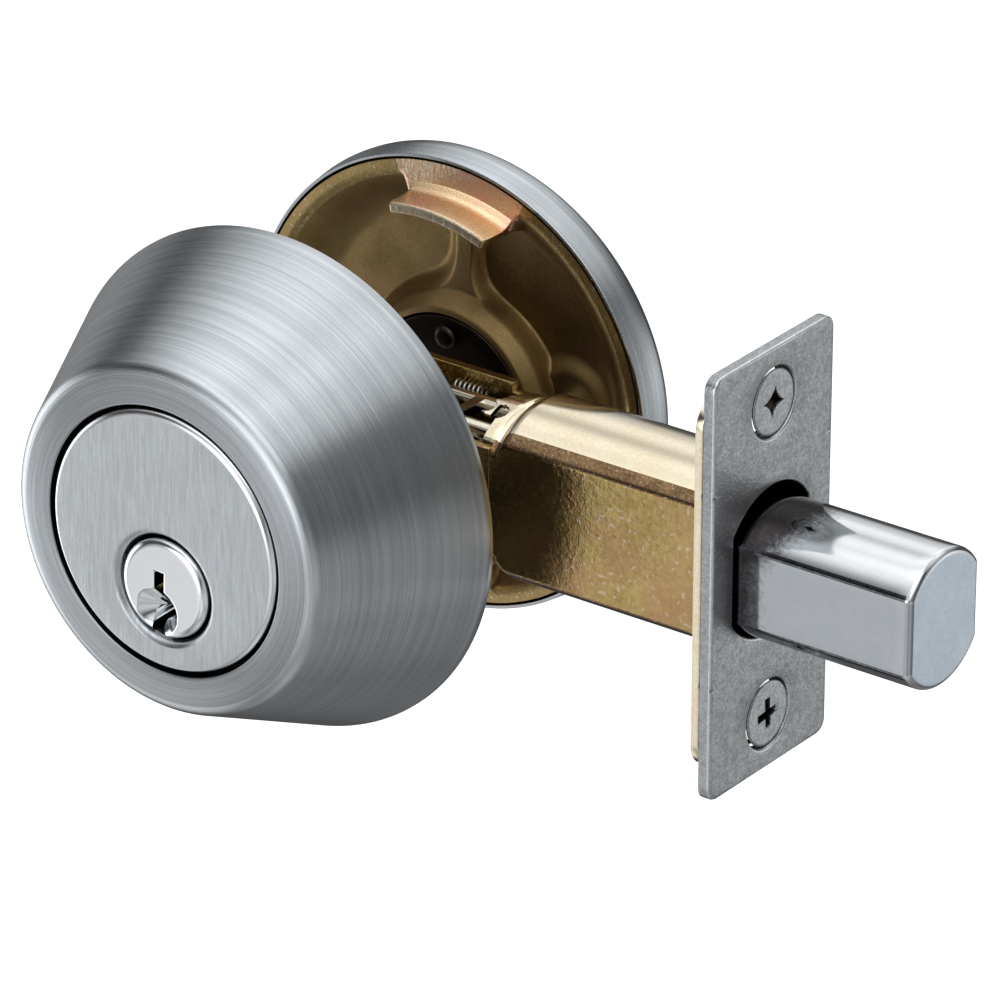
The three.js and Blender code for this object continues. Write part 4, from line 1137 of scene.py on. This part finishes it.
@dataclass
class RoomSide:
    """Mounting plate, rose cover, spindle plate, rivets and thumbturn."""

    facets: int = 288
    door_y: float = 17.4625
    floor_y: float = 22.4
    hub: tuple[float, float] = (-2.9, 12.3)
    tab_r: float = 26.2
    tab_y: float = 12.0

    def relief(self, x: Array, z: Array) -> Array:
        """Y of the mounting plate's open side.

        The bowl's wall climbs from the floor to the rim. Pads, ribs, the hub ring and the screw seats stand up
        from it: each is a distance d outside its outline, and the surface is level at d < 0 and falls to the bowl
        over the next millimetre. Rib and hub ring are joined with a fillet.

        Args:
            x: across.
            z: up.

        Returns:
            Y at each point.
        """
        r, angle = np.hypot(x, z), np.degrees(np.arctan2(z, x)) % 360
        bowl = self.floor_y - (self.floor_y - self.door_y) * smooth(r, 22.0, 29.3) ** 1.25
        hub_r = np.hypot(x, z - self.hub[0])
        ring = hub_r - 14.7
        rib = np.abs(x - 0.3) - 1.5
        raised = soft_least(rib, ring, 4.5)
        level = np.interp(hub_r, [12.3, 13.0, 14.9, 20], [self.door_y + 0.1, self.door_y + 0.35, 20.0, 20.9])
        lean = np.minimum(np.abs((angle % 180) - 85.75), 400)
        pad = np.maximum((lean - 18.75) * np.radians(r), 25.3 - r)
        foot = np.interp(x, [-3, 3], [1.9, 0.7])
        y = bowl + (np.minimum(level, bowl) - bowl) * (1 - smooth(raised, -0.4, foot))
        y = y + (self.door_y + 0.06 - y) * (1 - smooth(pad, -0.35, 0.5))
        for side in (-1, 1):
            seat = np.hypot(x - side * 16.5, z) - 3.9
            y = np.minimum(y, y + (21.3 - y) * (1 - smooth(seat, 0, 3.0)))
        well = smooth(hub_r, 11.9, 12.35)
        return y * well + (1 - well) * np.maximum(y, 18.95)

    def plate(self) -> Solid:
        """Cast mounting plate: the relief on the open side, a turned profile on the other.

        Rings are circles of radius 5.8 + 24.4 s whose centre lies at KEY_Z (1 - s)^2.68: on the spindle's axis at
        the hole, on the hub's where the ring is the hub's size, and on the plate's middle at the rim.

        Returns:
            The solid; slot 1 is the upper pad's face, a lighter rosy copy of the zinc as painted highlight, slot 2
            the rim and lower pad, a tan copy as painted shade.
        """
        share = np.interp(np.linspace(0, 1, 130), [0, 0.05, 0.38, 0.6, 1], [0, 0.2, 0.42, 0.76, 1])[:, None]
        columns = 560
        angle = np.linspace(0, 2 * np.pi, columns, endpoint=False)[None]
        radius = 5.8 + (30.2 - 5.8) * share
        up = KEY_Z * (1 - share) ** 2.68
        x, z = radius * np.cos(angle), up + radius * np.sin(angle)
        front = self.relief(x, z)
        r = np.hypot(x, z)
        back = np.interp(r, [0, 26.6, 28.2, 29.2, 29.9, 30.2], [23.7, 23.7, 23.3, 22.6, 21.5, 20.3])
        top = np.stack([x, front, z], -1)
        low = np.stack([x, back, z], -1)[::-6]
        rows = np.concatenate([top, low])
        toward = (front[:-1] + front[1:]) / 2
        lean = np.abs((np.degrees(np.arctan2(z, x)) % 180) - 85.75)[:-1]
        look = np.zeros((len(rows), columns), int)
        # The upper pad is painted lighter as a highlight, the rim and lower pad tan as shade.
        look[: len(front) - 1] = np.where((toward < self.door_y + 0.5) & (r[:-1] > 24),
                                          np.where((lean < 19.2) & (z[:-1] > 0), 1, 2), 0)
        return Solid().grid(rows, (True, True), look)

    def tab(self, turn: float) -> Solid:
        """Centring tab: a section swept round the Y axis from 67.8 to 101.7 degrees, its two ends eased.

        The section stands on the pad with a fillet at its foot, and its edges are rounded. Near each end it draws
        in towards its middle line by a quarter circle.

        Args:
            turn: degrees to turn it about Y.

        Returns:
            The solid; slot 3 is the tab, a bright orange copy of the zinc as painted highlight, slot 4 its end face,
            in a grey tone.
        """
        corners = [(self.tab_r - 1.45, self.tab_y), (self.tab_r, self.tab_y), (self.tab_r, 16.4),
                   (self.tab_r + 1.2, 17.6),
                   (self.tab_r + 1.2, 19.0), (self.tab_r - 1.45, 19.0)]
        path = rounded_path(corners, [0.45, 0.5, 1.3, 0.4, 0.1, 0.1], 9)
        ease = np.sin(np.linspace(0, np.pi / 2, 6))
        angle = np.radians(np.concatenate([67.8 + 0.7 * (1 - np.cos(np.linspace(0, np.pi / 2, 6))),
                                           np.linspace(68.9, 100.6, 60),
                                           101.7 - 0.7 * (1 - np.cos(np.linspace(np.pi / 2, 0, 6)))]) + turn)
        draw = np.concatenate([0.35 * (1 - ease), np.zeros(60), 0.35 * (1 - ease[::-1])])[:, None]
        middle = path.mean(0)
        radius = path[None, :, 0] + (middle[0] - path[None, :, 0]) * draw
        y = path[None, :, 1] + (middle[1] - path[None, :, 1]) * draw * (path[None, :, 1] < 16)
        points = np.stack([radius * np.cos(angle)[:, None], y + 0 * radius, radius * np.sin(angle)[:, None]], -1)
        caps = [np.broadcast_to(points[e].mean(0), points[e].shape)[None] for e in (0, -1)]
        rows = np.concatenate([caps[0], points, caps[1]])
        # The tab is painted bright as a highlight; its end face takes a grey tone.
        look = np.where((rows[:-1, :, 1] < self.tab_y + 0.3) & (np.roll(rows[:-1, :, 1], -1, 1) < self.tab_y + 0.3),
                        4, 3)
        return Solid().grid(rows, (False, True), look)

    def cover(self) -> Solid:
        """Rose cover: a thin shell turned about Y, its hole on the spindle's axis.

        Returns:
            The solid.
        """
        k, y = KEY_Z, self.door_y
        corners = [
            (6.2, 24.1, k), (26.8, 24.1, 0), (29.2, 23.4, 0), (30.4, 21.6, 0), (30.55, 20, 0), (30.55, y, 0),
            (31.0, y, 0),
            (31.4, 20.5, 0), (31.1, 22.9, 0), (29.4, 24.6, 0), (27, 25, 0), (6.2, 25, k),
        ]
        path = rounded_path(corners, [0.1, 1.2, 1.0, 0.8, 0.3, 0.1, 0.12, 0.8, 1.1, 1.0, 1.2, 0.25], 7)
        return Solid().turned(path, self.facets)

    def thumbturn(self) -> Solid:
        """Thumbturn: a dished foot and an upright pillow-shaped grip.

        The grip's outline is a rounded rectangle in (y, z); for u from -90 to 90 degrees it is scaled by
        0.86 + 0.14 cos u and stands at x = 3.1 sin u, with a flat middle.

        Returns:
            The solid.
        """
        foot = [(0, 25.4), (5.8, 25.4), (9.5, 25.4), (9.5, 27.4), (8.4, 28.4), (3, 29.2), (0, 29.2)]
        solid = Solid().turned(rounded_path(foot, [0, 0.1, 0.25, 0.6, 0.8, 1.0, 0], 7), 128, centre=(0, KEY_Z))
        outline = rounded_path([(27.8, -7.5), (33, -13.5), (44, -13.5), (44, 13.5), (33, 13.5), (27.8, 7.5)],
                               [1.5, 5, 6, 6, 5, 1.5], 10)
        middle = np.array([36.0, 0.0])
        u = np.linspace(-np.pi / 2, np.pi / 2, 15)
        scale = np.concatenate([[0], 0.86 + 0.14 * np.cos(u), [0]])[:, None, None]
        x = np.concatenate([[-3.1], 3.1 * np.sin(u), [3.1]])[:, None]
        ring = middle + (outline - middle)[None] * scale
        return solid.grid(np.stack([x + 0 * ring[..., 0], ring[..., 0], ring[..., 1] + KEY_Z], -1), (False, True))

    def mounting_screw(self, side: int) -> Solid:
        """Long machine screw: a pan head and a shank whose radius follows its thread.

        Args:
            side: -1 for the left one, 1 for the right.

        Returns:
            The solid.
        """
        angle = np.linspace(0, 2 * np.pi, 28, endpoint=False)[None]
        y = np.concatenate([[-31, -31, -30.2], np.linspace(-29.8, 8, 300),
                            [8.2, 21.6, 21.6, 22.6, 23.2, 23.5, 23.5]])[:, None]
        r = np.concatenate([[0, 1.2, 1.6], np.full(300, 2.0), [1.9, 1.9, 3.7, 3.7, 3.3, 2.6, 0]])[:, None]
        thread = 0.22 * np.abs(((y / 0.8 - angle / (2 * np.pi)) % 1) * 2 - 1) * ((y > -30) & (y < 8.1))
        r = r - thread
        return Solid().grid(np.stack([side * 16.5 + r * np.cos(angle), y + 0 * angle, r * np.sin(angle)], -1),
                            (False, True))

    def build(self, shop: Workshop) -> None:
        """Adds the pieces of the room side."""
        plate = self.plate()
        for turn in (0, 180):
            tab = self.tab(turn)
            plate.points += tab.points
            plate.faces += [f + plate.count for f in tab.faces]
            plate.uvs += tab.uvs
            plate.slots += tab.slots
            plate.count += tab.count
        shop.piece("rose_plate", plate.mesh("rose_plate", 60), Body.CASE, ["mounting_plate"],
                   ["bronze_zinc", "rosy_pad_painted_highlight", "tan_plate_painted_shade", "orange_tab_painted_highlight", "grey_zinc"])
        shop.piece("rose_shell", self.cover().mesh("rose_shell", 50), Body.CASE, ["rose_cover"],
                   ["satin_nickel_turned"])
        disc = [(4.2, self.door_y + 0.15, KEY_Z + 2.9), (12.0, self.door_y + 0.15, 0), (12.0, 18.7, 0),
                (4.2, 18.7, KEY_Z + 2.9)]
        hub_disc = Solid().turned(rounded_path(disc, [0.1, 0.25, 0.1, 0.1]), 128, centre=(0, self.hub[0]))
        shop.piece("hub_disc", hub_disc.mesh("hub_disc"), Body.CASE, ["spindle_plate"], ["dark_steel"])
        for k, (x, z) in enumerate(((0, 6.5), (8.9, -4.5), (-8.9, -4.5)), 1):
            path = rounded_path([(0, 16.55), (1.2, 16.6), (1.7, 17.2), (0.9, 17.6), (0.9, 23.5), (0, 23.5)],
                                [0, 0.4, 0.3, 0.1, 0.1, 0], 6)
            rivet = Solid().turned(path, 48, centre=(x, z))
            shop.piece(f"hub_rivet_{k}", rivet.mesh(f"hub_rivet_{k}"), Body.CASE, [f"plate_rivet_{k}"],
                       ["dark_steel"])
        shop.piece("thumbturn_grip", self.thumbturn().mesh("thumbturn_grip"), Body.THUMBTURN,
                   ["thumbturn"],
                   ["satin_nickel_belt"])
        for name, side in (("left", -1), ("right", 1)):
            screw = self.mounting_screw(side)
            shop.piece(f"long_screw_{name}", screw.mesh(f"long_screw_{name}", 50), Body.CASE,
                       [f"mounting_screw_{name}"],
                       ["plain_steel"])
        shop.eased("tailpiece", Body.THUMBTURN, "plain_steel", "plain_steel", 0.12)


def dress_the_rest(finishes: Finishes) -> None:
    """Gives every CAD node that stays in view the finish of its slot.

    Args:
        finishes: the made finishes.
    """
    slots = {part["node"]: part["material_slot"] for part in frame["record"]["subparts"]}
    same = {"satin_nickel": "satin_nickel_inner"}
    for name, node in frame["nodes"].items():
        if node.hide_render:
            continue
        slot = slots.get(name, "plain_steel")
        node.data.materials.clear()
        node.data.materials.append(finishes[same.get(slot, slot)])


# ---- Studio ------------------------------------------------------------------------------------------------
@dataclass(frozen=True)
class Softbox:
    """A soft round patch of light: full strength within the cosine core of its direction, none outside edge."""

    direction: tuple[float, float, float]
    strength: float
    edge: float = 0.873
    core: float = 0.998


@dataclass
class Studio:
    """Camera, floor and light."""

    azimuth: float = 36.237
    elevation: float = 25.665
    roll: float = 0.252
    distance: float = 1011.7
    lens: float = 290.667
    target: tuple[float, float, float] = (21.38, 0.0, -3.796)
    floor_z: float = -120.0

    def camera(self) -> None:
        """Places the camera at azimuth and elevation round the target, turned by the roll."""
        a, e, t = (math.radians(v) for v in (self.azimuth, self.elevation, self.roll))
        back = np.array([math.sin(a) * math.cos(e), -math.cos(a) * math.cos(e), math.sin(e)])
        right = np.array([math.cos(a), math.sin(a), 0.0])
        up = np.cross(back, right)
        right, up = right * math.cos(t) + up * math.sin(t), up * math.cos(t) - right * math.sin(t)
        data = bpy.data.cameras.new("camera")
        data.lens, data.sensor_width, data.clip_start, data.clip_end = self.lens, 36.0, 0.05, 20.0
        camera = bpy.data.objects.new("camera", data)
        place = (np.array(self.target) + back * self.distance) * MM
        matrix = np.eye(4)
        matrix[:3, 0], matrix[:3, 1], matrix[:3, 2], matrix[:3, 3] = right, up, back, place
        bpy.context.scene.collection.objects.link(camera)
        camera.matrix_world = Matrix(matrix.tolist())
        bpy.context.scene.camera = camera

    def floor(self) -> None:
        """Adds a plain pale floor well below the lock."""
        mesh = bpy.data.meshes.new("floor")
        size, z = 6.0, self.floor_z * MM
        mesh.from_pydata([(-size, -size, z), (size, -size, z), (size, size, z), (-size, size, z)], [], [(0, 1, 2, 3)])
        floor = bpy.data.objects.new("floor", mesh)
        bpy.context.scene.collection.objects.link(floor)
        material = bpy.data.materials.new("floor_white")
        material.use_nodes = True
        shader = material.node_tree.nodes["Principled BSDF"]
        shader.inputs["Base Color"].default_value = (0.6, 0.6, 0.6, 1)
        shader.inputs["Roughness"].default_value = 0.9
        shader.inputs["Specular IOR Level"].default_value = 0.0
        shader.inputs["Emission Color"].default_value = (1, 1, 1, 1)
        shader.inputs["Emission Strength"].default_value = 0.75
        mesh.materials.append(material)
        floor.visible_glossy = False
        floor.visible_diffuse = False

    def walls(self, boxes: Sequence[Softbox], base: Colour) -> None:
        """Lights the scene from all round: a pale base and soft patches, seen directly as a plain pale backdrop.

        Args:
            boxes: the patches.
            base: colour of the rest.
        """
        world = bpy.data.worlds.new("studio")
        world.use_nodes = True
        wires = Wiring(world.node_tree)
        background = world.node_tree.nodes["Background"]
        way = wires.add("TexCoord").outputs["Generated"]
        total: object = 0.0
        for box in boxes:
            direction = np.array(box.direction) / np.linalg.norm(box.direction)
            dot = wires.add("VectorMath", {0: way, 1: tuple(direction)}, operation="DOT_PRODUCT").outputs["Value"]
            total = wires.maths("ADD", total, wires.span(dot, box.edge, box.core, 0.0, box.strength))
        colour = wires.add("VectorMath", {0: base}, operation="ADD")
        wires.tree.links.new(total, colour.inputs[1])
        seen = wires.add("LightPath").outputs["Is Camera Ray"]
        wires.tree.links.new(wires.blend(seen, colour.outputs[0], (0.98, 0.98, 0.98)), background.inputs["Color"])
        bpy.context.scene.world = world

    def build(self) -> None:
        """Sets up the studio."""
        self.camera()
        self.floor()
        boxes = (
            Softbox((-0.95, -0.18, -0.27), 1.63),
            Softbox((-0.11, -0.99, 0.08), 1.46),
            Softbox((0.45, -0.33, 0.83), 1.16),
            Softbox((-0.68, -0.29, -0.67), 0.86),
            Softbox((0.06, -0.16, 0.98), 0.76),
            Softbox((0.57, 0.77, -0.30), 0.68),
            Softbox((-0.24, -0.39, 0.89), 0.67),
            Softbox((-0.36, 0.82, 0.45), 0.65),
            Softbox((0.42, 0.48, 0.77), 0.62),
            Softbox((-0.27, 0.13, 0.95), 0.51),
            Softbox((-0.10, 0.50, 0.86), 0.51),
            Softbox((-0.60, -0.07, 0.80), 0.50),
            Softbox((0.10, -0.94, -0.33), 0.43),
            Softbox((0.22, -0.92, 0.33), 0.41),
            Softbox((-0.49, 0.51, 0.70), 0.41),
            Softbox((-0.44, -0.88, -0.17), 0.41),
            Softbox((0.12, 0.78, 0.61), 0.37),
            Softbox((0.75, 0.65, 0.11), 0.37),
            Softbox((0.83, -0.51, -0.23), 0.35),
            Softbox((0.01, -0.68, 0.73), 0.32),
            Softbox((-0.01, -0.18, -0.98), 0.29),
            Softbox((0.45, -0.68, 0.58), 0.29),
            Softbox((-0.92, 0.36, -0.11), 0.28),
            Softbox((-0.20, -0.79, -0.58), 0.22),
            Softbox((0.35, -0.29, -0.89), 0.21),
            Softbox((0.92, 0.01, -0.39), 0.19),
            Softbox((0.83, -0.37, 0.42), 0.18),
            Softbox((0.21, -0.64, -0.73), 0.18),
            Softbox((0.54, -0.69, -0.48), 0.18),
            Softbox((0.59, 0.14, -0.80), 0.18),
            Softbox((-0.07, 0.51, -0.86), 0.11),
            Softbox((0.73, -0.25, -0.64), 0.09),
            Softbox((-0.53, -0.73, -0.43), 0.3, 0.965, 0.996),
        )
        self.walls(boxes, (0.07, 0.07, 0.071))
        scene = bpy.context.scene
        scene.view_settings.view_transform = "Standard"
        scene.view_settings.look = "None"


def main() -> None:
    """Builds the lock, sub-assembly by sub-assembly, and its studio."""
    logging.basicConfig(level=logging.INFO, format="%(name)s %(message)s")
    finishes = Finishes()
    shop = Workshop(finishes)
    Studio().build()
    for part in (KeySide(), BoltAndTube(), EdgePlates(), RoomSide()):
        part.build(shop)
    dress_the_rest(finishes)


if __name__ == "__main__":
    main()
